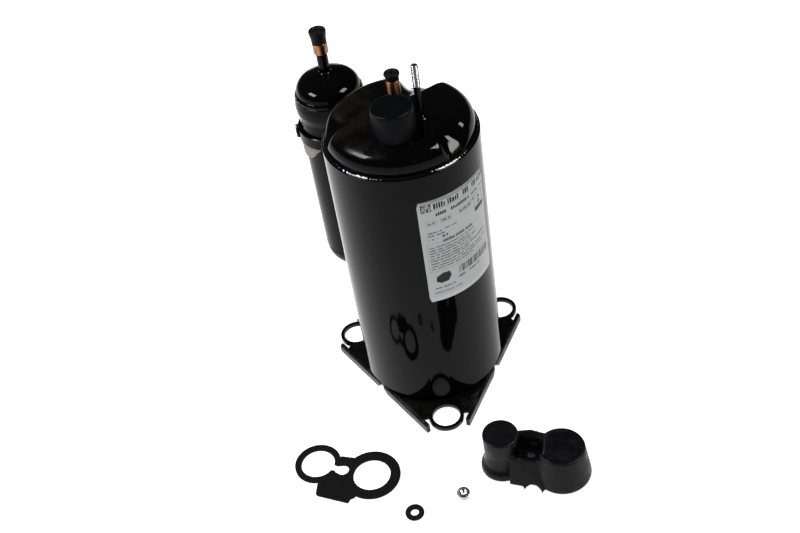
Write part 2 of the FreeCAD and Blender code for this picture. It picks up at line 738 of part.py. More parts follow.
def vane_spring():
    end_room = SPRING_WIRE_R + SPRING_END_GAP
    start = VANE_TIP + VANE_LENGTH + end_room
    length = BORE_R - start - end_room
    helix = Part.makeHelix(length / SPRING_TURNS, length, SPRING_MEAN_R)
    section = Part.Wire(Part.Circle(Vec(SPRING_MEAN_R, 0, 0), Vec(0, 1, 0), SPRING_WIRE_R).toShape())
    coil = Part.Wire(helix.Edges).makePipeShell([section], True, True)
    coil = rotated(coil, -90.0, axis=Vec(1, 0, 0))
    coil.translate(Vec(0, start, SUCTION_Z))
    return coil


def reed_valve():
    high = REED_Z + REED_T
    blade = joined([reed_outline(5.0, REED_Z, high, 2.5), disc(4.3, REED_Z, high, port_place()),
                    disc(3.6, REED_Z, high, port_place(REED_LENGTH))])
    return blade.cut(disc(1.8, 0, 100, port_place(REED_LENGTH)))


def valve_stop():
    # A rigid limiter that rises from the rivet to stop the reed's lift.
    low = REED_Z + REED_T + STOP_GAP
    high = low + STOP_T
    plate = joined([reed_outline(6.0, low, high, 1.4), disc(3.9, low, high, port_place()),
                    disc(3.2, low, high, port_place(REED_LENGTH))])
    plate = plate.cut(disc(1.5, 0, 100, port_place(REED_LENGTH)))
    hinge = port_place(REED_LENGTH)
    tilted = rotated(plate, -STOP_TILT, Vec(hinge[0], hinge[1], low), polar(1.0, PORT_ANGLE))
    return tilted.cut(disc(1.6, 0, 100, hinge))


def valve_rivet():
    at = port_place(REED_LENGTH)
    stop_top = REED_Z + REED_T + STOP_GAP + STOP_T + 0.45
    return disc(1.5, 36.0, stop_top, at).fuse(disc(2.8, stop_top, stop_top + 1.2, at))


# ---- motor ----
def stator_core():
    core = ring(BORE_R, STATOR_BORE, STATOR_LOW, STATOR_HIGH)
    slot = joined([Part.makeBox(12.0, 3.6, 80.0, Vec(30.5, -1.8, STATOR_LOW - 5)),
                   Part.makeBox(4.0, 1.4, 80.0, Vec(27.5, -0.7, STATOR_LOW - 5))])
    step = 360.0 / SLOT_COUNT
    slots = Part.makeCompound(around(slot, [k * step for k in range(SLOT_COUNT)]))
    core = core.cut(slots)
    flat = Part.makeBox(10.0, 26.0, 80.0, Vec(51.4, -13.0, STATOR_LOW - 5))
    return core.cut(Part.makeCompound(around(flat, [0, 60, 120, 180, 240, 300])))


def winding_end(low):
    high = low + WINDING_H
    return turned([(32.0, low), (44.0, low), (46.5, low + 4), (46.0, high - 4),
                   ("arc", (44.6, high - 1.2), (41.5, high)), (36.0, high),
                   ("arc", (33.0, high - 1.2), (31.5, high - 4)), (31.0, low + 4)])


def stator_winding():
    upper = winding_end(STATOR_HIGH)
    lower = winding_end(STATOR_HIGH).mirror(Vec(0, 0, (STATOR_LOW + STATOR_HIGH) / 2), UP)
    bar = Part.makeBox(10.6, 3.0, STATOR_HIGH - STATOR_LOW, Vec(31.6, -1.5, STATOR_LOW))
    step = 360.0 / SLOT_COUNT
    return joined([upper, lower] + around(bar, [k * step for k in range(SLOT_COUNT)]))


def rotor_core():
    return ring(ROTOR_R, JOURNAL_R, STATOR_LOW, STATOR_HIGH)


def rotor_end_rings():
    return [ring(27.0, 19.0, STATOR_HIGH, STATOR_HIGH + END_RING_H),
            ring(27.0, 19.0, STATOR_LOW - END_RING_H, STATOR_LOW)]


def balance_weights():
    top = STATOR_HIGH + END_RING_H
    low = STATOR_LOW - END_RING_H
    def arc(base):
        return turned([(19.5, base), (26.5, base), (26.5, base + WEIGHT_H), (19.5, base + WEIGHT_H)],
                      sweep=WEIGHT_SWEEP)

    upper = rotated(arc(top), ECCENTRIC_ANGLE - WEIGHT_SWEEP / 2)
    lower = rotated(arc(low - WEIGHT_H), ECCENTRIC_ANGLE + 180.0 - WEIGHT_SWEEP / 2)
    return [upper, lower]


# ---- loose terminal cover kit ----
def cover_blank(inset, low):
    # Two humps and the saddle between them; inset shrinks every face for the hollow inside.
    small_top = FLOOR_Z + SMALL_HUMP_H - inset
    large_top = FLOOR_Z + LARGE_HUMP_H - inset
    base = FLOOR_Z + 8.0
    small = disc(13.3 - inset, low, small_top, SMALL_HUMP)
    skirt = cone(16.6 - inset, 14.4 - inset, low, base + 1.0, SMALL_HUMP)
    large = cone(21.7 - inset, 17.6 - inset, low, large_top, LARGE_HUMP)
    span = Vec(LARGE_HUMP[0] - SMALL_HUMP[0], LARGE_HUMP[1] - SMALL_HUMP[1], 0)
    heading = math.degrees(math.atan2(span.y, span.x))
    saddle = Part.makeBox(span.Length - 2 * inset, 25.0 - 2 * inset, 21.0 - inset - low + FLOOR_Z,
                          Vec(inset, -13.0 + inset, low))
    saddle = rotated(saddle, heading)
    saddle.translate(Vec(SMALL_HUMP[0], SMALL_HUMP[1], 0))
    return joined([small, skirt, large, saddle])


def terminal_cover():
    outer = cover_blank(0.0, FLOOR_Z)
    inner = cover_blank(COVER_WALL, FLOOR_Z - 1.0)
    shell = outer.cut(inner)
    middle = ((SMALL_HUMP[0] + LARGE_HUMP[0]) / 2 - 2.0, (SMALL_HUMP[1] + LARGE_HUMP[1]) / 2 + 1.0)
    return shell.cut(disc(COVER_HOLE_R, FLOOR_Z + 10, FLOOR_Z + 30, middle))


def cover_gasket():
    low = FLOOR_Z
    high = FLOOR_Z + GASKET_T
    sheet = [disc(18.0, low, high, GASKET_SMALL), disc(21.9, low, high, GASKET_LARGE),
             prism([(-85.7, -89.4), (-72.9, -94.2), (-80, -129), (-106.1, -112.5)], low, high),
             prism([(-100, -104), (-106.1, -112.5), (-107.8, -120.8), (-106.9, -122.2),
                    (-84.3, -133.8), (-81.9, -130.5), (-79, -129.9), (-70, -118)], low, high)]
    gasket = joined(sheet)
    keyhole = joined([disc(4.76, low - 1, high + 1, (-85.6, -102.65)),
                      prism([(-88.6, -97.6), (-84.2, -98.1), (-87.0, -107.2), (-92.0, -103.6)],
                            low - 1, high + 1),
                      prism([(-92.4, -95.7), (-86.3, -99.1), (-89.1, -103.9), (-95.2, -100.5)],
                            low - 1, high + 1)])
    gasket = gasket.cut(disc(13.05, low - 1, high + 1, GASKET_SMALL))
    return gasket.cut(disc(14.3, low - 1, high + 1, GASKET_LARGE)).cut(keyhole)


def cover_washer():
    low = FLOOR_Z
    return turned([(3.1, low), (7.0, low), (7.0, low + 1.4), ("arc", (6.85, low + 1.75), (6.5, low + 1.9)),
                   (3.4, low + 1.9), (3.1, low + 1.6)], WASHER_AT)


def cover_nut():
    # A flanged hex nut that lies on its hex end, flange up.
    flat = 4.0
    corner = flat / math.cos(math.radians(30))
    corners = [polar(corner, 60 * k + 12) for k in range(6)]
    hexagon = [(NUT_AT[0] + c.x, NUT_AT[1] + c.y) for c in corners]
    flange_z = FLOOR_Z + 3.6
    body = prism(hexagon, FLOOR_Z, flange_z).fuse(disc(4.9, flange_z, flange_z + 1.1, NUT_AT))
    return body.cut(disc(2.25, FLOOR_Z - 1, flange_z + 5, NUT_AT))


SHELL_PARTS = (shell_tube, top_cap, bottom_cap, rim_weld, bottom_weld, foot_plate, foot_weld,
               rating_label)
LID_PARTS = (discharge_tube, discharge_plug, cover_stud, terminal_body, terminal_glass,
             terminal_pins, terminal_cap, lead_connector, lead_wires)
ACCUMULATOR_PARTS = (acc_body, acc_top_dome, acc_top_weld, acc_bottom_dome, acc_standpipe,
                     acc_screen, acc_strap, acc_strap_bolt, acc_strap_pad, acc_bracket,
                     suction_tube, suction_plug, suction_elbow, suction_fitting)
PUMP_PARTS = (cylinder_block, main_bearing, sub_bearing, pump_bolts, muffler_cover, crankshaft,
              oil_paddle, roller, vane, vane_spring, reed_valve, valve_stop, valve_rivet)
MOTOR_PARTS = (stator_core, stator_winding, rotor_core, rotor_end_rings, balance_weights)
LOOSE_PARTS = (terminal_cover, cover_gasket, cover_washer, cover_nut)

os.makedirs("parts", exist_ok=True)
for part_maker in (SHELL_PARTS + LID_PARTS + ACCUMULATOR_PARTS + PUMP_PARTS + MOTOR_PARTS
                   + LOOSE_PARTS):
    export(part_maker)
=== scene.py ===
"""Refrigeration rotary compressor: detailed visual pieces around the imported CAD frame.

Lengths inside outlines are millimetres and become metres in the mesh helpers.
Places come from the frame: the shell axis is x = y = 0, and heights are read from CAD boxes.
"""
import math
import random

import bmesh
import bpy
from mathutils import Matrix, Vector, noise


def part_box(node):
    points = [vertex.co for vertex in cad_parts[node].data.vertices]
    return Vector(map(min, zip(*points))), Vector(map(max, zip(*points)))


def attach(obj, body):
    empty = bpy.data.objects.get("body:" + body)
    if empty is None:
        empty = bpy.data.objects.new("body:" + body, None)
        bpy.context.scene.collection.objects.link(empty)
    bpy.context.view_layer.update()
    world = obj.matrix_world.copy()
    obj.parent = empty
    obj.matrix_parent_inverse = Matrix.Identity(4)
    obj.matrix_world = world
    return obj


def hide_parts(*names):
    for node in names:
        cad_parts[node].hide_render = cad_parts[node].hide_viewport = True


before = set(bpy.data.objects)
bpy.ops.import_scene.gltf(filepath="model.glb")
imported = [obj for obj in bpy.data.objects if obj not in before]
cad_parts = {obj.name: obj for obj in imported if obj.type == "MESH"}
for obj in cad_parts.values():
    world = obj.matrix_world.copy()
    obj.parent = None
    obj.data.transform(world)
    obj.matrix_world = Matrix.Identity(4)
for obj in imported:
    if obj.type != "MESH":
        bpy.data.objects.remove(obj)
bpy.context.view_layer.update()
MM = 0.001
ROOT = "compressor"


# ---------------------------------------------------------------- places from the frame
def low(node):
    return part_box(node)[0][2] / MM


def high(node):
    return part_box(node)[1][2] / MM


def axis(node):
    lo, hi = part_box(node)
    return ((lo[0] + hi[0]) / 2 / MM, (lo[1] + hi[1]) / 2 / MM)


def reach(node):
    lo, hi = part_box(node)
    return (hi[0] - lo[0]) / 2 / MM


SHELL_R = reach("shell_tube")
SHELL_LOW = low("shell_tube")
RIM = high("shell_tube")
LID = high("top_cap")
CAP_R = reach("top_cap")
FLOOR = low("foot_plate")
ACC = axis("acc_body")
ACC_TOP = high("acc_body") - 1.0
ACC_SEAM = low("acc_body")
STUD = axis("cover_stud")
TERMINAL = axis("terminal_cap")
TERMINAL_R = reach("terminal_cap")
LABEL_LOW = low("rating_label")
LABEL_HIGH = high("rating_label")
SHELL_AXIS = (0.0, 0.0)


# ---------------------------------------------------------------- mesh helpers
def new_object(name, bm):
    mesh = bpy.data.meshes.new(name)
    bmesh.ops.recalc_face_normals(bm, faces=bm.faces)
    bm.to_mesh(mesh)
    bm.free()
    piece = bpy.data.objects.new(name, mesh)
    bpy.context.scene.collection.objects.link(piece)
    return piece


def smooth(piece, weighted=True):
    for face in piece.data.polygons:
        face.use_smooth = True
    if weighted:
        modifier = piece.modifiers.new("even_normals", "WEIGHTED_NORMAL")
        modifier.weight = 80
        modifier.keep_sharp = False
    return piece


def finish_piece(piece, mats, body=ROOT, nodes=()):
    for mat in mats if isinstance(mats, (list, tuple)) else [mats]:
        piece.data.materials.append(mat)
    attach(piece, body)
    if nodes:
        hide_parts(*nodes)
    return piece


LONGEST_CUT = 0.49
ON_AXIS = 1e-6


def turned(start, turn, centre, steps):
    """Points from centre + start on, in equal steps over an arc of the given turn."""
    points = []
    for step in range(steps + 1):
        angle = -turn * step / steps
        c, s = math.cos(angle), math.sin(angle)
        points.append(centre + Vector((start.x * c - start.y * s, start.x * s + start.y * c)))
    return points


def rounded(corners, steps=5):
    """A closed outline from (radius, z, fillet) corners; a corner with a fillet becomes an arc."""
    points = []
    for k, corner in enumerate(corners):
        here = Vector(corner[:2])
        if len(corner) < 3:
            points.append(here)
            continue
        fillet = corner[2]
        back = Vector(corners[k - 1][:2]) - here
        ahead = Vector(corners[(k + 1) % len(corners)][:2]) - here
        half = back.angle(ahead) / 2
        cut = min(fillet / math.tan(half), LONGEST_CUT * back.length, LONGEST_CUT * ahead.length)
        radius = cut * math.tan(half)
        back.normalize()
        ahead.normalize()
        centre = here + (back + ahead).normalized() * (radius / math.sin(half))
        start = here + back * cut - centre
        turn = start.angle_signed(here + ahead * cut - centre)
        points += turned(start, turn, centre, steps)
    return points


def ring_vert(bm, at, r, angle, z):
    """A new vertex at a radius and angle round a place, in millimetres."""
    return bm.verts.new(((at[0] + r * math.cos(angle)) * MM, (at[1] + r * math.sin(angle)) * MM, z * MM))


def stitch(bm, columns, closed=True):
    """Faces between neighbouring columns of vertices, each column being a closed loop."""
    following = columns[1:] + columns[:1] if closed else columns[1:]
    count = len(columns[0])
    for left, right in zip(columns, following):
        for i in range(count):
            j = (i + 1) % count
            loop = []
            for vert in (left[i], right[i], right[j], left[j]):
                if vert not in loop:
                    loop.append(vert)
            if len(loop) > 2:
                bm.faces.new(loop)


def lathe(name, outline, at=SHELL_AXIS, segments=128, shift=None):
    """Turns a closed outline of (radius, z) points; shift(point, angle) can move each point."""
    bm = bmesh.new()
    columns = []
    poles = {}
    for k in range(segments):
        angle = math.radians(360.0 * k / segments)
        column = []
        for i, point in enumerate(outline):
            r, z = (point[0], point[1]) if shift is None else shift(point, angle)
            if point[0] > ON_AXIS:
                column.append(ring_vert(bm, at, r, angle, z))
                continue
            if i not in poles:
                poles[i] = ring_vert(bm, at, 0.0, 0.0, z)
            column.append(poles[i])
        columns.append(column)
    stitch(bm, columns)
    return new_object(name, bm)


def bevelled_copy(node, name, width):
    """A new mesh of a CAD node's shape, with its sharp edges rounded."""
    same_place = 2e-6
    flat = math.radians(1.0)
    sharp_from = math.radians(32.0)
    bm = bmesh.new()
    bm.from_mesh(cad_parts[node].data)
    bmesh.ops.remove_doubles(bm, verts=bm.verts, dist=same_place)
    bmesh.ops.dissolve_limit(bm, angle_limit=flat, verts=bm.verts, edges=bm.edges)
    sharp = [e for e in bm.edges if len(e.link_faces) == 2 and e.calc_face_angle(0.0) > sharp_from]
    bmesh.ops.bevel(bm, geom=sharp, offset=width * MM, offset_type="OFFSET", segments=2,
                    profile=0.5, affect="EDGES", clamp_overlap=True)
    return new_object(name, bm)


def joined_pieces(name, pieces):
    """One object from several, with their modifiers applied."""
    depsgraph = bpy.context.evaluated_depsgraph_get()
    bm = bmesh.new()
    for piece in pieces:
        bm.from_mesh(piece.evaluated_get(depsgraph).to_mesh())
    for piece in pieces:
        bpy.data.objects.remove(piece)
    return new_object(name, bm)


def applied(piece):
    """The piece with its modifiers made part of its mesh."""
    depsgraph = bpy.context.evaluated_depsgraph_get()
    mesh = bpy.data.meshes.new_from_object(piece.evaluated_get(depsgraph))
    piece.modifiers.clear()
    piece.data = mesh
    return piece


def combined(target, other, operation):
    """The target joined with the other piece or cut by it; the other piece goes."""
    modifier = target.modifiers.new("shape", "BOOLEAN")
    modifier.operation = operation
    modifier.solver = "EXACT"
    modifier.object = other
    applied(target)
    bpy.data.objects.remove(other)
    return target


def prism(name, corners, z_low, z_high):
    bm = bmesh.new()
    bottom = [bm.verts.new((x * MM, y * MM, z_low * MM)) for x, y in corners]
    top = [bm.verts.new((x * MM, y * MM, z_high * MM)) for x, y in corners]
    bm.faces.new(bottom[::-1])
    bm.faces.new(top)
    for i in range(len(corners)):
        j = (i + 1) % len(corners)
        bm.faces.new((bottom[i], bottom[j], top[j], top[i]))
    return new_object(name, bm)


def hull(name, points):
    bm = bmesh.new()
    for x, y, z in points:
        bm.verts.new((x * MM, y * MM, z * MM))
    result = bmesh.ops.convex_hull(bm, input=bm.verts)
    loose = [v for v in result["geom_interior"] if isinstance(v, bmesh.types.BMVert)]
    bmesh.ops.delete(bm, geom=loose, context="VERTS")
    return new_object(name, bm)


# ---------------------------------------------------------------- material helpers
class Paint:
    """A node material in object space, built on one Principled shader."""

    def __init__(self, name, color, **sockets):
        self.material = bpy.data.materials.new(name)
        self.material.use_nodes = True
        self.nodes = self.material.node_tree.nodes
        self.links = self.material.node_tree.links
        self.shader = self.nodes["Principled BSDF"]
        self.shader.inputs["Base Color"].default_value = (*color, 1.0)
        for socket, value in sockets.items():
            self.shader.inputs[socket.replace("_", " ")].default_value = value
        self.place = self.nodes.new("ShaderNodeTexCoord").outputs["Object"]
        self.height = None

    def node(self, kind, **values):
        made = self.nodes.new(kind)
        for key, value in values.items():
            setattr(made, key, value)
        return made

    def grain(self, size, detail=3.0, roughness=0.55, stretch=(1, 1, 1), distortion=0.0):
        """Noise whose features are about size millimetres across; stretch squeezes an axis."""
        mapping = self.node("ShaderNodeMapping")
        mapping.inputs["Scale"].default_value = stretch
        self.links.new(self.place, mapping.inputs["Vector"])
        made = self.node("ShaderNodeTexNoise")
        made.inputs["Scale"].default_value = 1.0 / (size * MM)
        made.inputs["Detail"].default_value = detail
        made.inputs["Roughness"].default_value = roughness
        made.inputs["Distortion"].default_value = distortion
        self.links.new(mapping.outputs["Vector"], made.inputs["Vector"])
        return made.outputs["Fac"]

    def spots(self, size, low_edge, high_edge):
        """White inside small separate spots about size millimetres apart."""
        made = self.node("ShaderNodeTexVoronoi")
        made.inputs["Scale"].default_value = 1.0 / (size * MM)
        self.links.new(self.place, made.inputs["Vector"])
        return self.ranged(made.outputs["Distance"], low_edge, high_edge, 1.0, 0.0)

    def ranged(self, source, a, b, to_a, to_b):
        made = self.node("ShaderNodeMapRange", interpolation_type="SMOOTHSTEP")
        for socket, value in zip(("From Min", "From Max", "To Min", "To Max"), (a, b, to_a, to_b)):
            made.inputs[socket].default_value = value
        self.links.new(source, made.inputs["Value"])
        return made.outputs["Result"]

    def times(self, a, b):
        made = self.node("ShaderNodeMath", operation="MULTIPLY")
        self.links.new(a, made.inputs[0])
        self.links.new(b, made.inputs[1])
        return made.outputs["Value"]

    def region(self, axis_name, a, b, soft):
        """1 between two places on one axis of the row frame, in millimetres, with soft edges."""
        parts = self.node("ShaderNodeSeparateXYZ")
        self.links.new(self.place, parts.inputs["Vector"])
        rise = self.ranged(parts.outputs[axis_name], (a - soft) * MM, (a + soft) * MM, 0.0, 1.0)
        fall = self.ranged(parts.outputs[axis_name], (b - soft) * MM, (b + soft) * MM, 1.0, 0.0)
        return self.times(rise, fall)

    def rough(self, source, at_low, at_high, a=0.35, b=0.65):
        self.links.new(self.ranged(source, a, b, at_low, at_high), self.shader.inputs["Roughness"])
        return self

    def tint(self, source, other, a=0.35, b=0.65, share=1.0):
        """Mixes another colour in where the source is high."""
        base = self.shader.inputs["Base Color"]
        mix = self.node("ShaderNodeMix", data_type="RGBA")
        sockets = [s for s in mix.inputs if s.type == "RGBA"]
        if base.is_linked:
            self.links.new(base.links[0].from_socket, sockets[0])
        else:
            sockets[0].default_value = base.default_value
        sockets[1].default_value = (*other, 1.0)
        self.links.new(self.ranged(source, a, b, 0.0, share), mix.inputs["Factor"])
        result = [s for s in mix.outputs if s.type == "RGBA"][0]
        self.links.new(result, base)
        return self

    def bump(self, source, depth):
        """Relief of the given depth in millimetres."""
        made = self.node("ShaderNodeBump")
        made.inputs["Strength"].default_value = 1.0
        made.inputs["Distance"].default_value = depth * MM
        self.links.new(source, made.inputs["Height"])
        if self.height is not None:
            self.links.new(self.height, made.inputs["Normal"])
        self.height = made.outputs["Normal"]
        self.links.new(self.height, self.shader.inputs["Normal"])
        return self


ENAMEL_IOR = 1.17


def gloss_black(name, dust=0.0, peel=0.004, roughness=0.05):
    """Baked black enamel over steel: deep gloss, faint orange peel, a little dust."""
    paint = Paint(name, (0.0016, 0.0016, 0.0018), IOR=ENAMEL_IOR, Roughness=roughness)
    paint.bump(paint.grain(7.0, 1.0), peel * 6)
    paint.bump(paint.grain(1.6, 2.0), peel)
    cloud = paint.grain(26.0, 4.0, 0.6)
    paint.rough(cloud, roughness, roughness + 0.04, 0.4, 0.7)
    specks = paint.times(paint.spots(7.5, 0.02, 0.07), paint.ranged(cloud, 0.35, 0.6, 0.0, 1.0))
    paint.tint(specks, (0.05, 0.05, 0.048), 0.3, 1.0, 0.35 + 0.5 * dust)
    if dust:
        haze = paint.times(paint.grain(3.2, 6.0, 0.75), paint.ranged(cloud, 0.38, 0.66, 0.0, 1.0))
        paint.tint(haze, (0.010, 0.0095, 0.0085), 0.22, 0.62, dust)
    return paint.material


def lid_black():
    """The lid's enamel, dusty on the plateau beside the discharge tube."""
    paint = Paint("lid_enamel", (0.0018, 0.0018, 0.0019), IOR=ENAMEL_IOR, Roughness=0.06)
    paint.bump(paint.grain(8.0, 1.0), 0.03)
    paint.bump(paint.grain(1.5, 2.0), 0.004)
    left_half = paint.region("X", -60.0, -12.0, 12.0)
    plateau = paint.times(left_half, paint.region("Z", LID - 5, LID + 2, 3.0))
    cloud = paint.ranged(paint.grain(16.0, 5.0, 0.65), 0.3, 0.6, 0.25, 1.0)
    haze = paint.times(plateau, cloud)
    dust = paint.times(haze, paint.grain(1.1, 6.0, 0.85))
    paint.tint(dust, (0.0075, 0.0066, 0.005), 0.12, 0.62, 0.9)
    specks = paint.spots(7.5, 0.012, 0.04)
    paint.tint(specks, (0.14, 0.14, 0.13), 0.4, 1.0, 0.8)
    paint.rough(haze, 0.06, 0.28, 0.1, 0.9)
    return paint.material


def plate_black():
    """Thinner paint on the pressed foot plate, with dust and scuffs."""
    paint = Paint("plate_enamel", (0.0035, 0.0035, 0.0032), IOR=1.27, Roughness=0.2)
    cloud = paint.grain(12.0, 5.0, 0.65)
    paint.rough(cloud, 0.14, 0.38)
    paint.tint(paint.grain(4.0, 7.0, 0.8), (0.014, 0.013, 0.0105), 0.5, 0.76, 0.7)
    paint.tint(paint.spots(4.6, 0.03, 0.09), (0.07, 0.068, 0.06), 0.3, 1.0, 0.5)
    paint.bump(paint.grain(0.9, 3.0), 0.012)
    paint.bump(paint.grain(6.0, 2.0), 0.05)
    return paint.material


def layered(name, color, tints, bumps, **sockets):
    """A material from rows: tints are (grain, colour, from, to, share), bumps are (grain, depth)."""
    paint = Paint(name, color, **sockets)
    for grain, other, a, b, share in tints:
        paint.tint(paint.grain(*grain), other, a, b, share)
    for grain, depth in bumps:
        paint.bump(paint.grain(*grain), depth)
    return paint.material


def rubber(name, color=(0.004, 0.004, 0.0048), roughness=0.5, dust=0.25, ior=1.15):
    """Moulded matt rubber: fine grain, a dusty bloom and slight sheen on rounded edges."""
    paint = Paint(name, color, IOR=ior, Roughness=roughness)
    paint.bump(paint.grain(0.35, 3.0), 0.012)
    paint.bump(paint.grain(2.6, 2.0), 0.03)
    cloud = paint.grain(7.0, 5.0, 0.65)
    paint.rough(cloud, roughness - 0.1, roughness + 0.12)
    paint.tint(cloud, tuple(2.2 * c for c in color), 0.45, 0.75, dust)
    paint.tint(paint.spots(2.6, 0.03, 0.08), (0.03, 0.03, 0.029), 0.3, 1.0, dust)
    return paint.material


def copper():
    """Drawn copper tube, rubbed and tarnished, streaked along its length."""
    paint = Paint("copper", (0.30, 0.145, 0.072), Metallic=1.0, Roughness=0.24, Anisotropic=0.4)
    streak = paint.grain(1.3, 4.0, 0.6, (1.0, 1.0, 0.06))
    paint.rough(streak, 0.18, 0.38)
    paint.tint(streak, (0.12, 0.045, 0.02), 0.42, 0.7, 0.9)
    paint.tint(paint.grain(3.0, 5.0, 0.7), (0.045, 0.022, 0.015), 0.5, 0.74, 0.8)
    paint.bump(streak, 0.02)
    paint.bump(paint.grain(2.4, 2.0), 0.05)
    return paint.material


def metal(name, color, roughness=0.3, size=1.2, stretch=(1, 1, 1), dull=None, depth=0.01):
    """A bare metal with fine grain, an uneven polish and a dull tint in patches."""
    paint = Paint(name, color, Metallic=1.0, Roughness=roughness)
    fine = paint.grain(size, 4.0, 0.6, stretch)
    paint.rough(fine, max(0.05, roughness - 0.1), roughness + 0.12)
    dull = dull or tuple(0.55 * c for c in color)
    paint.tint(paint.grain(size * 5, 4.0, 0.7), dull, 0.45, 0.75, 0.6)
    paint.bump(fine, depth)
    return paint.material


def plastic(name, color, roughness=0.45):
    paint = Paint(name, color, IOR=1.46, Roughness=roughness)
    cloud = paint.grain(4.0, 4.0, 0.6)
    paint.rough(cloud, roughness - 0.08, roughness + 0.1)
    paint.tint(cloud, tuple(0.8 * c for c in color), 0.5, 0.8, 0.4)
    paint.bump(paint.grain(0.6, 2.0), 0.006)
    return paint.material


SHELL_BLACK = gloss_black("shell_enamel")
ACC_BLACK = gloss_black("accumulator_enamel", 0.15)
HIDDEN_BLACK = gloss_black("back_enamel", 0.3, 0.008, 0.12)
STRAP_BLACK = gloss_black("strap_enamel", 0.2, 0.006, 0.1)
LID_BLACK = lid_black()
PLATE_BLACK = plate_black()
# Paint over a fused bead: gloss with ripples and a few bare flecks.
WELD_BLACK = layered("weld_enamel", (0.003, 0.003, 0.003),
                     [((1.7, 4.0, 0.7), (0.05, 0.042, 0.034), 0.64, 0.76, 0.7)],
                     [((1.1, 2.0), 0.10), ((0.5, 2.0), 0.02)], IOR=1.4, Roughness=0.08)
# The weld at the shell's foot, where brown scale shows through the paint.
BURNT_WELD = layered("burnt_weld", (0.006, 0.005, 0.004),
                     [((2.2, 4.0, 0.7), (0.07, 0.045, 0.028), 0.5, 0.7, 0.8)],
                     [((0.8, 2.0), 0.10)], IOR=1.3, Roughness=0.25)
CAP_RUBBER = rubber("cap_rubber", (0.0020, 0.0022, 0.0031), 0.42, 0.2, 1.14)
PLUG_RUBBER = rubber("plug_rubber", (0.0055, 0.0058, 0.0070), 0.45, 0.3)
COVER_RUBBER = rubber("cover_rubber", (0.0034, 0.0035, 0.0044), 0.40, 0.25, 1.2)
SHEET_RUBBER = rubber("sheet_rubber", (0.0068, 0.0068, 0.0068), 0.7, 0.15)
COPPER = copper()
ZINC = metal("zinc_plate", (0.42, 0.43, 0.45), 0.22, 1.0)
THREAD = metal("bare_thread", (0.34, 0.34, 0.33), 0.24, 0.8)
# Pale pad with short fibres, soiled in patches.
FELT = layered("pale_pad", (0.34, 0.32, 0.285),
               [((5.0, 5.0, 0.7), (0.20, 0.18, 0.15), 0.42, 0.7, 0.7),
                ((0.5, 3.0, 0.6, (1, 1, 3)), (0.42, 0.40, 0.36), 0.5, 0.7, 0.5)],
               [((0.4, 3.0), 0.04)], IOR=1.3, Roughness=0.7)
LABEL = layered("label_film", (0.52, 0.525, 0.53),
                [((22.0, 4.0, 0.6), (0.47, 0.475, 0.475), 0.4, 0.7, 0.8),
                 ((0.6, 3.0, 0.6), (0.55, 0.555, 0.56), 0.5, 0.7, 0.5)],
                [((11.0, 2.0), 0.05), ((0.5, 2.0), 0.003)], IOR=1.3, Roughness=0.36)
INK = layered("label_ink", (0.012, 0.012, 0.014),
              [((0.7, 4.0, 0.7), (0.05, 0.05, 0.052), 0.45, 0.7, 0.8)],
              [((0.5, 2.0), 0.003)], IOR=1.25, Roughness=0.4)
PUMP_IRON = metal("pump_iron", (0.30, 0.30, 0.31), 0.42, 1.6, depth=0.03)
GROUND = metal("ground_steel", (0.66, 0.66, 0.67), 0.16, 0.5, (1, 1, 0.1))
PRESSED = metal("pressed_steel", (0.50, 0.50, 0.51), 0.34, 1.5)
TERMINAL_STEEL = metal("terminal_steel", (0.58, 0.57, 0.55), 0.28, 0.9)
ALUMINIUM = metal("cast_aluminium", (0.70, 0.71, 0.72), 0.4, 1.4, depth=0.03)
BRASS = metal("weight_brass", (0.74, 0.56, 0.26), 0.3, 1.1)
# The edges of stacked electrical sheet, and enamelled copper wire in packed bundles.
LAMINATED = layered("stacked_sheet", (0.34, 0.34, 0.36),
                    [((0.6, 2.0, 0.5, (0.02, 0.02, 1.0)), (0.16, 0.16, 0.17), 0.4, 0.6, 0.8)],
                    [((0.6, 2.0, 0.5, (0.02, 0.02, 1.0)), 0.05)], Metallic=1.0, Roughness=0.4)
WIRE = layered("wound_wire", (0.50, 0.17, 0.06),
               [((0.8, 2.0, 0.5, (1.0, 1.0, 0.25), 0.5), (0.16, 0.05, 0.02), 0.4, 0.62, 0.9)],
               [((0.8, 2.0, 0.5, (1.0, 1.0, 0.25), 0.5), 0.15)],
               Metallic=0.6, Roughness=0.3, Coat_Weight=0.4)
NYLON = plastic("white_nylon", (0.72, 0.70, 0.64))
SLEEVING = plastic("lead_sleeving", (0.62, 0.60, 0.56), 0.6)
GLASS = layered("glass_bead", (0.05, 0.16, 0.10), [((0.7, 4.0, 0.6), (0.10, 0.26, 0.18), 0.4, 0.7, 0.7)],
                [((1.5, 1.0), 0.02)], IOR=1.52, Roughness=0.05)


# ---------------------------------------------------------------- camera, lights and floor
def aim(thing, place, target):
    thing.location = place
    thing.rotation_euler = (Vector(target) - Vector(place)).to_track_quat("-Z", "Y").to_euler()


def add_camera():
    """A 50 mm lens in front of the object, looking down on it, turned a little round its axis."""
    target = Vector((-0.01615, 0.0, 0.0977))
    elevation = math.radians(41.4)
    roll = math.radians(-9.74)
    distance = 0.859
    back = Vector((0.0, -math.cos(elevation), math.sin(elevation)))
    level = Vector((1.0, 0.0, 0.0))
    upright = back.cross(level)
    right = math.cos(roll) * level + math.sin(roll) * upright
    up = -math.sin(roll) * level + math.cos(roll) * upright
    data = bpy.data.cameras.new("camera")
    data.sensor_width = 36.0
    data.lens = 50.0
    data.clip_start = 0.02
    camera = bpy.data.objects.new("camera", data)
    bpy.context.scene.collection.objects.link(camera)
    turn = Matrix((right, up, back)).transposed().to_4x4()
    camera.matrix_world = Matrix.Translation(target + back * distance) @ turn
    bpy.context.scene.camera = camera


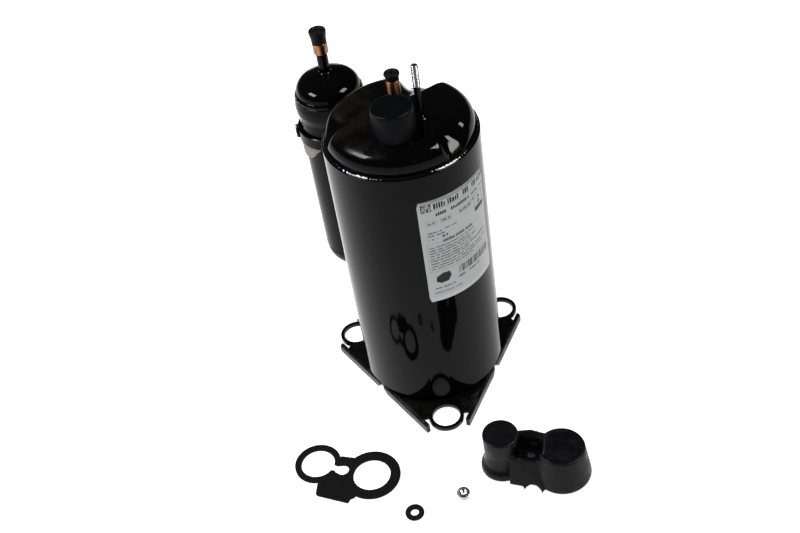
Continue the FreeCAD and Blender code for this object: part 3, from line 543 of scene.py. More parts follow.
def soft_box(name, azimuth, elevation, distance, width, height, power, color):
    """A rectangular lamp at angles in degrees round the middle of the shell, aimed at it."""
    target = Vector((0.0, 0.0, 0.12))
    a = math.radians(azimuth)
    e = math.radians(elevation)
    outward = Vector((math.cos(a) * math.cos(e), math.sin(a) * math.cos(e), math.sin(e)))
    place = target + distance * outward
    data = bpy.data.lights.new(name, "AREA")
    data.shape = "RECTANGLE"
    data.size = width
    data.size_y = height
    data.energy = power
    data.color = color
    lamp = bpy.data.objects.new(name, data)
    bpy.context.scene.collection.objects.link(lamp)
    aim(lamp, place, target)
    return lamp


def add_lights():
    """Two windows that only show as reflections, and two soft lamps that only light surfaces."""
    left = soft_box("left_window", -168.0, 42.0, 1.25, 0.50, 0.30, 26.0, (0.88, 0.92, 1.0))
    left.visible_diffuse = False
    right = soft_box("right_window", -22.0, 47.0, 1.25, 0.46, 0.40, 24.0, (1.0, 0.99, 0.965))
    right.visible_diffuse = False
    fill = soft_box("overhead_fill", -100.0, 80.0, 1.5, 1.6, 1.6, 8.0, (1.0, 1.0, 1.0))
    fill.visible_glossy = False
    wash = soft_box("left_floor_wash", 170.0, 68.0, 0.9, 0.30, 0.30, 6.0, (1.0, 1.0, 1.0))
    wash.visible_glossy = False
    aim(wash, wash.location, (-0.30, 0.10, 0.0))


def add_world():
    world = bpy.data.worlds.new("studio")
    bpy.context.scene.world = world
    world.use_nodes = True
    sky = world.node_tree.nodes["Background"]
    sky.inputs["Color"].default_value = (0.92, 0.93, 0.95, 1.0)
    sky.inputs["Strength"].default_value = 0.05


def add_floor():
    """A pale sheet just under the plate; most of its brightness is its own."""
    bm = bmesh.new()
    side = 3.0
    level = FLOOR * MM - 0.0002
    corners = ((-side, -side), (side, -side), (side, side), (-side, side))
    bm.faces.new([bm.verts.new((x, y, level)) for x, y in corners])
    floor = new_object("studio_floor", bm)
    paint = Paint("pale_floor", (0.80, 0.80, 0.80), Roughness=0.9)
    paint.shader.inputs["Specular IOR Level"].default_value = 0.1
    paint.shader.inputs["Emission Color"].default_value = (1.0, 1.0, 1.0, 1.0)
    paint.shader.inputs["Emission Strength"].default_value = 0.95
    floor.data.materials.append(paint.material)


add_camera()
add_lights()
add_world()
add_floor()
bpy.context.scene.view_settings.view_transform = "Standard"


# ---------------------------------------------------------------- shell
def wavy(place, size, depth, seed):
    """Smooth seeded noise, about -depth to depth, with features of the given size."""
    return depth * noise.noise(Vector(place) / size + Vector((seed, 2.0 * seed, 3.0 * seed)))


def shell_wall():
    wall = 3.0
    outline = rounded([(SHELL_R - wall, SHELL_LOW, 0.2), (SHELL_R, SHELL_LOW, 0.7),
                       (SHELL_R, RIM, 0.55), (SHELL_R - wall, RIM, 0.2)])
    piece = smooth(lathe("shell_body", outline, segments=256))
    return finish_piece(piece, SHELL_BLACK, nodes=["shell_tube"])


# angle, apex radius, half width at the rim, sideways tilt of the floor, softness of the two walls
NOTCHES = ((-46.5, 34.0, 11.5, 0.10, 7.5, 13.0), (62.5, 23.0, 18.5, 0.0, 10.0, 10.0),
           (180.0, 31.0, 11.0, 0.0, 18.0, 9.0))
VALLEY_TOP = RIM + 15.0
SHOULDER = 12.9
PLATEAU_R = CAP_R - SHOULDER


def smooth_step(share):
    share = min(1.0, max(0.0, share))
    return share * share * (3 - 2 * share)


def soft_ramp(distance):
    """Nearly zero below zero and nearly the distance above it."""
    return 0.5 * (math.sqrt(distance ** 2 + 40.0) + distance)


def lid_height(x, y):
    """Height of the lid's outer face over a place, in millimetres."""
    z = LID
    over = min(math.hypot(x, y) - PLATEAU_R, SHOULDER)
    if over > 0:
        z = LID - SHOULDER + math.sqrt(SHOULDER ** 2 - over ** 2)
    for angle, apex, mouth, tilt, soft_low, soft_high in NOTCHES:
        a = math.radians(angle)
        along = x * math.cos(a) + y * math.sin(a) - apex
        across = -x * math.sin(a) + y * math.cos(a)
        spread = mouth / (54.0 - apex)
        inside = ((along + 1.6) * spread - math.sqrt(across ** 2 + 5.0)) / math.hypot(1.0, spread)
        soft = soft_low + (soft_high - soft_low) * smooth_step(0.5 + across / 10.0)
        blend = smooth_step(inside / soft + 0.62)
        fall = 15.0 / soft_ramp(46.0 - apex)
        valley = max(VALLEY_TOP - fall * soft_ramp(along - 8.0) + tilt * across, RIM + 0.2)
        if z > valley:
            z += (valley - z) * blend
    return z


def lid():
    """The domed lid: one height field over a polar grid, closed by a skirt and an inner face."""
    bm = bmesh.new()
    segments = 360
    skirt = RIM - 6.0
    radii = [PLATEAU_R * k / 34 for k in range(1, 35)]
    radii += [PLATEAU_R + SHOULDER * math.sin(math.radians(90 * k / 22)) for k in range(1, 23)]
    inner_scale = (CAP_R - 2.6) / CAP_R

    def cover_face(scale, drop):
        centre = bm.verts.new((0, 0, (lid_height(0, 0) - drop) * MM))
        rows = []
        for r in radii:
            row = []
            for k in range(segments):
                a = 2 * math.pi * k / segments
                z = lid_height(r * math.cos(a), r * math.sin(a)) - drop
                row.append(ring_vert(bm, SHELL_AXIS, r * scale, a, z))
            rows.append(row)
        last = [bm.verts.new((v.co.x, v.co.y, skirt * MM)) for v in rows[-1]]
        rows.append(last)
        for k in range(segments):
            bm.faces.new((centre, rows[0][k], rows[0][(k + 1) % segments]))
        for inner, outer in zip(rows, rows[1:]):
            for k in range(segments):
                j = (k + 1) % segments
                bm.faces.new((inner[k], outer[k], outer[j], inner[j]))
        return last

    top = cover_face(1.0, 0.0)
    under = cover_face(inner_scale, 3.0)
    for k in range(segments):
        j = (k + 1) % segments
        bm.faces.new((top[k], under[k], under[j], top[j]))
    piece = smooth(new_object("domed_lid", bm), weighted=False)
    return finish_piece(piece, LID_BLACK, nodes=["top_cap"])


def weld_ring():
    """The fused bead between the lid's skirt and the shell's edge."""
    across = 9
    segments = 720
    inner, outer = CAP_R - 0.6, SHELL_R - 0.75
    bm = bmesh.new()
    columns = []
    for k in range(segments):
        angle = 2 * math.pi * k / segments
        x, y = SHELL_R * math.cos(angle), SHELL_R * math.sin(angle)
        ripple = wavy((x, y, 0), 1.9, 0.42, 1.0) + wavy((x, y, 9), 5.0, 0.35, 4.0)
        column = []
        for i in range(across):
            share = i / (across - 1)
            crown = math.sin(math.pi * min(1.0, 0.12 + 0.88 * share)) * (1.0 - 0.35 * share)
            r = inner + (outer - inner + 0.25 * ripple) * share
            column.append(ring_vert(bm, SHELL_AXIS, r, angle, RIM - 0.25 + (1.55 + ripple) * crown))
        for r in (SHELL_R - 0.9, CAP_R - 0.7):
            column.append(ring_vert(bm, SHELL_AXIS, r, angle, RIM - 1.2))
        columns.append(column)
    stitch(bm, columns)
    piece = smooth(new_object("rim_bead", bm), weighted=False)
    return finish_piece(piece, WELD_BLACK, nodes=["rim_weld"])


def foot_bead():
    """The brown-edged weld under the shell's lower edge."""
    def ripple(point, angle):
        x, y = SHELL_R * math.cos(angle), SHELL_R * math.sin(angle)
        return point[0] + wavy((x, y, 0), 3.0, 0.35, 7.0), point[1] + wavy((x, y, 5), 4.0, 0.25, 8.0)

    outline = rounded([(51.4, SHELL_LOW - 2.2, 0.5), (54.2, SHELL_LOW - 1.7, 1.0),
                       (55.3, SHELL_LOW - 0.1, 0.5), (52.2, SHELL_LOW + 0.1, 0.2)])
    piece = smooth(lathe("lower_bead", outline, segments=360, shift=ripple), weighted=False)
    return finish_piece(piece, BURNT_WELD, nodes=["bottom_weld"])


shell_wall()
lid()
weld_ring()
foot_bead()


# ---------------------------------------------------------------- rating label
LABEL_START = -88.6
LABEL_W = math.radians(63.6) * SHELL_R
LABEL_H = LABEL_HIGH - LABEL_LOW


def label_corner(u, v, lift):
    """A place on the label: u from its left edge and v from its top edge, in millimetres."""
    angle = math.radians(LABEL_START) + u / SHELL_R
    r = SHELL_R + lift
    return (r * math.cos(angle) * MM, r * math.sin(angle) * MM, (LABEL_HIGH - v) * MM)


def label_sheet():
    bm = bmesh.new()
    columns, rows, corner = 66, 24, 1.2
    face_rows = []
    for lift in (0.02, 0.14):
        grid = []
        for j in range(rows + 1):
            v = LABEL_H * j / rows
            row = []
            for i in range(columns + 1):
                u = LABEL_W * i / columns
                edge = max(0.0, corner - min(v, LABEL_H - v))
                inset = corner - math.sqrt(max(0.0, corner ** 2 - edge ** 2))
                u = inset + u * (LABEL_W - 2 * inset) / LABEL_W
                row.append(bm.verts.new(label_corner(u, v, lift)))
            grid.append(row)
        face_rows.append(grid)
    under, over = face_rows
    for grid in face_rows:
        for a, b in zip(grid, grid[1:]):
            for i in range(columns):
                bm.faces.new((a[i], a[i + 1], b[i + 1], b[i]))
    border = [(0, i) for i in range(columns)] + [(j, columns) for j in range(rows)]
    border += [(rows, columns - i) for i in range(columns)] + [(rows - j, 0) for j in range(rows)]
    for (a, b), (c, d) in zip(border, border[1:] + border[:1]):
        bm.faces.new((under[a][b], under[c][d], over[c][d], over[a][b]))
    piece = smooth(new_object("label_sheet", bm), weighted=False)
    return finish_piece(piece, LABEL, nodes=["rating_label"])


class Marks:
    """Generic printed marks: small raised patches of ink, no lettering."""

    def __init__(self):
        self.bm = bmesh.new()

    def bar(self, u0, v0, u1, v1):
        steps = max(1, round((u1 - u0) / 3.0))
        top = []
        for lift in (0.15, 0.17):
            for v in (v0, v1):
                top.append([self.bm.verts.new(label_corner(u0 + (u1 - u0) * k / steps, v, lift))
                            for k in range(steps + 1)])
        low_a, low_b, high_a, high_b = top
        for k in range(steps):
            self.bm.faces.new((high_a[k], high_a[k + 1], high_b[k + 1], high_b[k]))
            self.bm.faces.new((low_a[k], low_b[k], low_b[k + 1], low_a[k + 1]))
            self.bm.faces.new((low_a[k], low_a[k + 1], high_a[k + 1], high_a[k]))
            self.bm.faces.new((low_b[k], high_b[k], high_b[k + 1], low_b[k + 1]))
        self.bm.faces.new((low_a[0], high_a[0], high_b[0], low_b[0]))
        self.bm.faces.new((low_a[-1], low_b[-1], high_b[-1], high_a[-1]))

    def frame(self, u0, v0, u1, v1, line):
        self.bar(u0, v0, u1, v0 + line)
        self.bar(u0, v1 - line, u1, v1)
        self.bar(u0, v0 + line, u0 + line, v1 - line)
        self.bar(u1 - line, v0 + line, u1, v1 - line)

    def row(self, rng, u0, u1, v, height, word, gap, stroke):
        """A row of groups, each a few short ticks of uneven width."""
        u = u0
        while u < u1 - 1.0:
            end = min(u1, u + rng.uniform(*word))
            while u < end - stroke:
                width = rng.uniform(0.7, 1.4) * stroke
                inset = rng.choice((0.0, 0.0, 0.25)) * height
                self.bar(u, v + inset, min(u + width, end), v + height)
                u += width + 0.45 * stroke
            u = end + gap

    def polygon(self, corners):
        """A filled shape made of thin bars, so that it follows the curved film."""
        step = 0.25
        v = min(c[1] for c in corners)
        bottom = max(c[1] for c in corners)
        while v < bottom:
            crossings = []
            for (u0, v0), (u1, v1) in zip(corners, corners[1:] + corners[:1]):
                if (v0 <= v + 0.5 * step) != (v1 <= v + 0.5 * step):
                    crossings.append(u0 + (u1 - u0) * (v + 0.5 * step - v0) / (v1 - v0))
            crossings.sort()
            for left, right in zip(crossings[::2], crossings[1::2]):
                if right - left > 0.05:
                    self.bar(left, v, right, v + step)
            v += step


def speckle(ink, rng, u, v, columns, rows, cell, fill, share, edge=()):
    """A block of square cells, some inked at random; the edge columns and rows are mostly inked."""
    for i in range(columns):
        for j in range(rows):
            if (edge and (i in edge[0] or j in edge[1])) or rng.random() < share:
                if not edge or rng.random() < 0.82:
                    ink.bar(u + i * cell, v + j * cell, u + (i + fill) * cell, v + (j + fill) * cell)


# Rows of marks: left end, right end, top, height, shortest and longest group, gap, stroke.
HEADINGS = ((11.6, 34.5, 3.6, 4.6, (9.0, 13.0), 1.5, 1.35), (36.0, 44.5, 3.6, 4.6, (5.0, 7.0), 1.5, 1.35),
            (46.0, 57.0, 3.8, 4.2, (5.0, 8.0), 1.2, 1.15))
SUBHEADINGS = ((12.5, 23.0, 11.8, 2.7, (7.0, 10.0), 1.2, 0.95),
               (24.5, 42.0, 11.8, 2.7, (10.0, 15.0), 1.2, 0.95),
               (44.5, 52.0, 12.0, 2.0, (2.0, 4.0), 1.3, 0.65),
               (55.0, 61.5, 12.4, 1.5, (2.0, 4.0), 1.1, 0.5))
RATINGS = ((5.0, 15.5, 27.6, 1.2, (4.0, 8.0), 1.0, 0.45), (18.0, 28.5, 27.0, 1.0, (3.0, 7.0), 0.9, 0.4),
           (5.0, 17.5, 30.2, 1.2, (4.0, 8.0), 1.0, 0.45), (5.0, 12.0, 33.6, 1.1, (0.9, 1.4), 1.8, 0.5),
           (15.5, 20.5, 32.6, 2.2, (1.6, 2.6), 1.2, 0.7), (15.5, 42.5, 36.8, 2.4, (8.0, 16.0), 0.8, 0.55))
FOOTERS = ((24.5, 32.5, 75.4, 1.9, (5.0, 8.0), 1.4, 0.75), (34.5, 45.5, 75.4, 1.7, (5.0, 8.0), 1.4, 0.6),
           (5.5, 21.0, 79.6, 1.2, (3.0, 8.0), 1.0, 0.45), (4.5, 28.0, 84.0, 0.9, (4.0, 9.0), 0.9, 0.4))


def label_print():
    rng = random.Random(7)
    ink = Marks()
    speckle(ink, rng, 2.4, 2.6, 10, 9, 0.74, 0.96, 0.55, ((0, 9), (0, 8)))
    ink.bar(11.0, 2.3, 62.0, 2.5)
    ink.bar(11.0, 9.2, 62.0, 9.4)
    for row in HEADINGS:
        ink.row(rng, *row)
    speckle(ink, rng, 57.6, 3.4, 6, 6, 0.75, 0.7 / 0.75, 0.6)
    for row in SUBHEADINGS:
        ink.row(rng, *row)
    for u0, u1 in ((5.0, 12.5), (15.5, 24.0), (30.5, 43.0)):
        ink.frame(u0, 18.0, u1, 21.6, 0.16)
        ink.row(rng, u0 + 1.0, u1 - 0.8, 19.0, 1.7, (2.5, 5.0), 0.8, 0.6)
    ink.row(rng, 44.5, 47.5, 17.6, 1.3, (1.5, 3.0), 0.7, 0.5)
    ink.frame(47.0, 16.6, 58.5, 31.0, 0.22)
    ink.polygon([(52.6, 18.6), (54.8, 22.3), (53.9, 22.3), (52.6, 20.1), (51.3, 22.3), (50.4, 22.3)])
    ink.polygon([(51.2, 24.4), (54.2, 23.2), (54.4, 25.0), (51.6, 26.4)])
    ink.bar(47.2, 27.4, 58.3, 30.8)
    for row in RATINGS:
        ink.row(rng, *row)
    left, right, top, bottom, line = 3.0, 60.5, 38.0, 64.0, 0.15
    for u0, v0, u1, v1 in ((left, top, 14.5, top + line), (43.5, top, right, top + line),
                           (left, top, left + line, bottom), (right - 0.1, top, right + 0.05, bottom),
                           (left, bottom, right, bottom + line)):
        ink.bar(u0, v0, u1, v1)
    for k in range(9):
        v = 41.2 + 2.45 * k
        last = rng.uniform(34.0, 58.5)
        ink.row(rng, 4.6, last, v, 1.05, (2.5, 8.0), 0.9, 0.42)
        if k in (2, 5):
            ink.bar(left, v - 0.75, right, v - 0.63)
    u = 25.0
    while u < 57.5:
        width = rng.choice((0.35, 0.35, 0.7, 1.05))
        ink.bar(u, 66.6, min(u + width, 58.0), 73.4)
        u += width + rng.choice((0.35, 0.5, 0.8))
    ink.polygon([(7.2, 69.4), (12.2, 66.8), (17.6, 67.2), (18.6, 71.4), (16.0, 75.6), (10.4, 76.0),
                 (6.6, 73.6)])
    for row in FOOTERS:
        ink.row(rng, *row)
    piece = new_object("label_marks", ink.bm)
    return finish_piece(piece, INK)


label_sheet()
label_print()


# ---------------------------------------------------------------- foot plate
def foot_plate():
    piece = smooth(bevelled_copy("foot_plate", "pressed_foot_plate", 0.45))
    return finish_piece(piece, PLATE_BLACK, nodes=["foot_plate"])


foot_plate()


# ---------------------------------------------------------------- lid fittings
def tube_end(name, outer, wall, bottom, step, top, neck, at, mats, node):
    """A copper stub: a lower run, a short cone and the expanded end, slightly out of true."""
    outline = rounded([(neck - wall, bottom), (neck, bottom), (neck, step, 0.8), (outer, step + 2.0, 1.2),
                       (outer, top, 0.3), (outer - wall, top, 0.3), (outer - wall, step + 2.2, 0.8),
                       (neck - wall, step + 0.2, 0.8)])

    def dent(point, angle):
        where = (8.0 * math.cos(angle), 8.0 * math.sin(angle), point[1])
        return point[0] + wavy(where, 6.0, 0.10, 3.0), point[1]

    piece = smooth(lathe(name, outline, at, 96, shift=dent))
    return finish_piece(piece, mats, nodes=[node])


def discharge_stub():
    outer = reach("discharge_tube")
    return tube_end("discharge_stub", outer, 0.8, LID - 2.0, LID + 5.0, high("discharge_tube"),
                    outer - 0.75, SHELL_AXIS, COPPER, "discharge_tube")


def plug(name, at, seat, neck, head, height, node, body):
    """A transit plug: flared head over a stem, with a moulded ring and a dimple on top."""
    top = seat + height
    outline = rounded([(0, seat - 6.5), (neck - 1.4, seat - 6.5, 0.5), (neck - 0.9, seat + 0.1, 0.1),
                       (neck, seat + 0.1, 0.4), (neck + 0.15, seat + 0.34 * height, 0.8),
                       (head, top - 1.5, 0.9), (head - 0.25, top, 0.7), (0.74 * head, top, 0.5),
                       (0.66 * head, top - 0.9, 0.4), (0.46 * head, top - 0.9, 0.3),
                       (0.42 * head, top - 0.3, 0.25), (0.28 * head, top - 0.3, 0.3),
                       (0.22 * head, top - 1.9, 0.3), (0, top - 2.0)], steps=4)
    piece = smooth(lathe(name, outline, at, 96))
    return finish_piece(piece, PLUG_RUBBER, body, [node])


def stud_shank():
    """The painted lower part of the stud, with its projection-weld collar."""
    bare = 16.5
    top = high("cover_stud") - bare
    outline = rounded([(0, LID - 1.0), (4.3, LID - 1.0, 0.1), (4.3, LID + 0.5, 0.5),
                       (3.5, LID + 1.2, 0.4), (3.3, LID + 2.2, 0.4), (2.42, LID + 2.9, 0.4),
                       (2.42, top, 0.2), (0, top)])

    def uneven(point, angle):
        where = (6.0 * math.cos(angle), 6.0 * math.sin(angle), point[1])
        near = 1.0 if point[1] < LID + 2.0 and point[0] > 1 else 0.12
        return point[0] + near * wavy(where, 2.5, 0.45, 5.0), point[1]

    piece = smooth(lathe("stud_shank", outline, STUD, 64, shift=uneven))
    return finish_piece(piece, SHELL_BLACK)


def thread_mesh(name, at, bottom, top, major, hollow_r=None):
    """A helical M5 thread as one height field round a rod, or round a bore if hollow_r is set."""
    pitch = 0.8
    depth = 0.61 * pitch
    lead_in = 0.7
    around = 40
    rows = int((top - bottom) / pitch * 10)
    turns = [2 * math.pi * k / around for k in range(around)]
    bm = bmesh.new()
    grid = []
    for j in range(rows + 1):
        z = bottom + (top - bottom) * j / rows
        taper = min(1.0, (top - z) / lead_in) if hollow_r is None else 1.0
        row = []
        for k, angle in enumerate(turns):
            phase = ((z - bottom) / pitch - k / around) % 1.0
            groove = min(1.0, max(0.0, 1.25 * (1.0 - abs(2 * phase - 1)) - 0.12))
            radius = major - depth * max(groove, 1.1 * (1 - taper))
            row.append(ring_vert(bm, at, radius, angle, z))
        grid.append(row)
    if hollow_r is not None:
        for z in (top, bottom):
            grid.append([ring_vert(bm, at, hollow_r, angle, z) for angle in turns])
        stitch(bm, grid)
        return new_object(name, bm)
    stitch(bm, grid, closed=False)
    for row, z in ((grid[0], bottom), (grid[-1], top)):
        centre = ring_vert(bm, at, 0.0, 0.0, z)
        for k in range(around):
            bm.faces.new((centre, row[k], row[(k + 1) % around]))
    return new_object(name, bm)


def stud_thread():
    top = high("cover_stud")
    piece = smooth(thread_mesh("stud_thread", STUD, top - 16.6, top, 2.5), weighted=False)
    return finish_piece(piece, THREAD, nodes=["cover_stud"])


def transit_cap():
    """The soft cap over the terminal: a slightly barrelled cup with a rolled top edge."""
    bottom, top = low("terminal_cap"), high("terminal_cap")
    r = TERMINAL_R
    outline = rounded([(12.2, bottom, 0.2), (r - 0.1, bottom, 0.5), (r, bottom + 4.0, 4.0),
                       (r - 0.05, top - 3.0, 3.0), (r - 0.5, top - 0.25, 1.25), (r - 2.6, top, 1.0),
                       (r - 4.4, top - 0.28, 2.0), (0, top - 0.35),
                       (0, top - 2.6), (12.0, top - 2.6, 0.8)], steps=6)

    def soft(point, angle):
        where = (12.0 * math.cos(angle), 12.0 * math.sin(angle), point[1])
        return point[0] * (1 + wavy(where, 14.0, 0.006, 9.0)), point[1] + wavy(where, 12.0, 0.12, 2.0)

    piece = smooth(lathe("transit_cap", outline, TERMINAL, 160, shift=soft))
    return finish_piece(piece, CAP_RUBBER, "terminal_transit_cap", ["terminal_cap"])


discharge_stub()
plug("discharge_transit_bung", SHELL_AXIS, high("discharge_tube"), 4.55, 5.6, 5.6, "discharge_plug",
     "discharge_transit_plug")
stud_shank()
stud_thread()
transit_cap()


# ---------------------------------------------------------------- accumulator
def canister():
    """The accumulator's wall: straight, with a rolled neck and a bulge under its top seam."""
    r = ACC_TOP
    low = ACC_SEAM
    outline = rounded([(24.7, low - 0.1), (26.2, low, 0.8), (26.2, r - 24.5, 2.5), (25.9, r - 20.5, 2.5),
                       (25.9, r - 15.5, 2.5), (27.3, r - 9.6, 1.8), (27.3, r - 4.8, 2.2),
                       (26.3, r + 0.6, 0.8), (24.8, r + 0.9, 0.2), (24.8, r - 6.0), (23.9, r - 18.0),
                       (24.7, r - 24.0)], steps=7)
    piece = smooth(lathe("canister", outline, ACC, 192))
    return finish_piece(piece, ACC_BLACK, nodes=["acc_body"])


def dome_arc(a, b, c, steps=14):
    """Points on the circle through three (radius, z) points, from the first to the last."""
    a, b, c = Vector(a), Vector(b), Vector(c)
    d = 2 * (a.x * (b.y - c.y) + b.x * (c.y - a.y) + c.x * (a.y - b.y))
    sq = [p.length_squared for p in (a, b, c)]
    centre = Vector(((sq[0] * (b.y - c.y) + sq[1] * (c.y - a.y) + sq[2] * (a.y - b.y)) / d,
                     (sq[0] * (c.x - b.x) + sq[1] * (a.x - c.x) + sq[2] * (b.x - a.x)) / d))
    start = a - centre
    return turned(start, start.angle_signed(c - centre), centre, steps)


def canister_domes():
    r = ACC_TOP
    tube = 4.2
    outer = dome_arc((24.7, r + 4.4), (22.4, r + 10.9), (17.2, r + 14.5))
    outer += dome_arc((17.2, r + 14.5), (10.4, r + 16.9), (6.2, r + 17.6))[1:]
    outer += [Vector((5.2, r + 18.0)), Vector((tube + 0.3, r + 18.9)), Vector((tube, r + 19.2))]
    inner = [Vector((tube - 0.4, r + 15.6)), Vector((16.0, r + 12.4)), Vector((20.9, r + 8.6)),
             Vector((22.7, r + 3.0)), Vector((22.7, r - 2.0)), Vector((24.7, r - 2.0))]
    piece = smooth(lathe("canister_top", outer + inner, ACC, 192), weighted=False)
    finish_piece(piece, ACC_BLACK, nodes=["acc_top_dome"])
    r = ACC_SEAM
    hole = 6.3
    outer = dome_arc((25.8, r - 0.6), (24.8, r - 7.8), (21.9, r - 13.2))
    outer += dome_arc((21.9, r - 13.2), (15.6, r - 19.6), (hole + 1.4, r - 23.6))[1:]
    outer += [Vector((hole + 0.2, r - 25.0)), Vector((hole, r - 22.6))]
    inner = [Vector((15.6, r - 17.6)), Vector((20.9, r - 11.4)), Vector((23.1, r - 3.0)),
             Vector((23.1, r + 5.0)), Vector((24.6, r + 5.0)), Vector((24.6, r))]
    piece = smooth(lathe("canister_bottom", outer + inner, ACC, 192), weighted=False)
    finish_piece(piece, ACC_BLACK, nodes=["acc_bottom_dome"])


def canister_bead():
    r = ACC_TOP

    def ripple(point, angle):
        where = (26.0 * math.cos(angle), 26.0 * math.sin(angle), 0.0)
        return point[0] + wavy(where, 3.0, 0.22, 6.0), point[1] + wavy(where, 4.0, 0.3, 5.0)

    outline = rounded([(24.3, r + 0.4), (26.0, r + 0.6, 0.6), (26.3, r + 2.6, 0.9), (25.3, r + 4.4, 0.9),
                       (24.3, r + 4.6)], steps=5)
    piece = smooth(lathe("canister_bead", outline, ACC, 240, shift=ripple), weighted=False)
    return finish_piece(piece, ACC_BLACK, nodes=["acc_top_weld"])


def suction_stub():
    """The suction tube: black paint over its lower run, bare copper at the expanded end."""
    outer = reach("suction_tube")
    neck = 4.25
    top = high("suction_tube")
    step = top - 10.0
    piece = tube_end("suction_stub", outer, 0.8, ACC_TOP + 12.0, step, top, neck, ACC,
                     [COPPER, ACC_BLACK], "suction_tube")
    for face in piece.data.polygons:
        if face.center.z < (step + 0.4) * MM:
            face.material_index = 1
    return piece


def pad_edge(angle):
    """How far the felt hangs below the strap at an angle: a tongue that ends in a slanted point."""
    stops = ((-240, 0.5), (-215, 6.0), (-195, 12.0), (-160, 13.5), (-146, 12.5), (-137, 9.5), (-127, 4.5),
             (-119, 0.8), (-112, 0.4))
    for (a0, d0), (a1, d1) in zip(stops, stops[1:]):
        if a0 <= angle <= a1:
            return d0 + (d1 - d0) * (angle - a0) / (a1 - a0)
    return 0.4


def canister_pad(top):
    """The thin felt under the strap, a curved sheet."""
    start, sweep, steps = -240, 128, 96
    inner, outer, round_off = 26.3, 27.9, 0.4
    bm = bmesh.new()
    columns = []
    for k in range(steps + 1):
        degrees = start + sweep * k / steps
        a = math.radians(degrees)
        low_edge = top - pad_edge(degrees)
        outline = ((inner, top), (outer, top), (outer, low_edge + round_off), (outer - 0.3, low_edge),
                   (inner, low_edge))
        columns.append([ring_vert(bm, ACC, r, a, z) for r, z in outline])
    stitch(bm, columns, closed=False)
    bm.faces.new(columns[0])
    bm.faces.new(columns[-1][::-1])
    piece = smooth(new_object("canister_pad", bm))
    return finish_piece(piece, FELT, nodes=["acc_strap_pad"])


def strap_set():
    """The strap, its buckle and screw, the felt under it and the bracket behind."""
    bottom = low("acc_strap") + 3.0
    top = bottom + 9.6
    outline = rounded([(26.4, bottom), (28.3, bottom, 0.25), (29.0, bottom + 0.6, 0.3),
                       (29.0, top - 0.6, 0.3), (28.3, top, 0.25), (26.4, top)], steps=4)
    band = lathe("canister_strap", outline, ACC, 160)
    finish_piece(smooth(band), STRAP_BLACK, nodes=["acc_strap"])
    middle = Vector(ACC)
    out = (Vector(axis("acc_strap_bolt")) - middle).normalized()
    side = Vector((-out.y, out.x))
    corners = [middle + out * r + side * offset
               for r, offset in ((28.2, -5.0), (30.9, -3.4), (30.9, 3.4), (28.2, 5.0))]
    buckle = prism("strap_buckle", corners, bottom + 1.2, top - 1.2)
    finish_piece(smooth(buckle), STRAP_BLACK)
    canister_pad(bottom + 0.4)
    outline = rounded([(0.0, top - 1.4), (1.9, top - 1.4), (1.9, top + 0.3, 0.4), (0.0, top + 0.3)],
                      steps=3)
    screw = lathe("strap_screw", outline, middle + out * 29.6, 32)
    finish_piece(smooth(screw), ZINC, nodes=["acc_strap_bolt"])
    piece = smooth(bevelled_copy("acc_bracket", "canister_bracket", 0.4))
    finish_piece(piece, HIDDEN_BLACK, nodes=["acc_bracket"])


canister()
canister_domes()
canister_bead()
suction_stub()
plug("suction_transit_bung", ACC, high("suction_tube"), 5.5, 6.5, 10.6, "suction_plug",
     "suction_transit_plug")
strap_set()


# ---------------------------------------------------------------- loose terminal cover kit
SMALL_HUMP = Vector((35.1, -123.4))
LARGE_HUMP = Vector((76.9, -138.7))
HUMP_LINE = (LARGE_HUMP - SMALL_HUMP).normalized()
HUMP_SIDE = Vector((-HUMP_LINE.y, HUMP_LINE.x))
HUMP_SPAN = (LARGE_HUMP - SMALL_HUMP).length
SMALL_TOP = 38.0
LARGE_TOP = 30.8


def cover_point(along, side):
    return SMALL_HUMP + HUMP_LINE * along + HUMP_SIDE * side


def cover_hull(name, points):
    """A convex block round (along, side, height over the floor) points in the cover's directions."""
    return hull(name, [(*cover_point(along, side), FLOOR + z) for along, side, z in points])


def hump_outlines():
    """The two humps as outlines of (radius, height over the floor, fillet)."""
    small = [(0, 0), (14.6, 0, 1.5), (16.4, 2.2, 1.6), (15.9, 6.5, 3.0), (13.4, 10.5, 4.0),
             (12.7, 17.5, 8.0), (13.3, SMALL_TOP - 3.2, 4.0), (13.25, SMALL_TOP, 1.6),
             (11.4, SMALL_TOP, 0.8), (10.6, SMALL_TOP - 0.35, 0.8), (0, SMALL_TOP - 0.3)]
    large = [(0, 0), (19.6, 0, 1.5), (21.6, 2.4, 2.4), (21.2, 6.0, 5.0), (17.7, LARGE_TOP - 2.4, 3.0),
             (17.3, LARGE_TOP, 1.7), (15.3, LARGE_TOP, 0.8), (14.5, LARGE_TOP - 0.4, 0.8),
             (0, LARGE_TOP - 0.3)]
    return small, large


def on_floor(corners, steps=5):
    return rounded([(corner[0], FLOOR + corner[1], *corner[2:]) for corner in corners], steps)


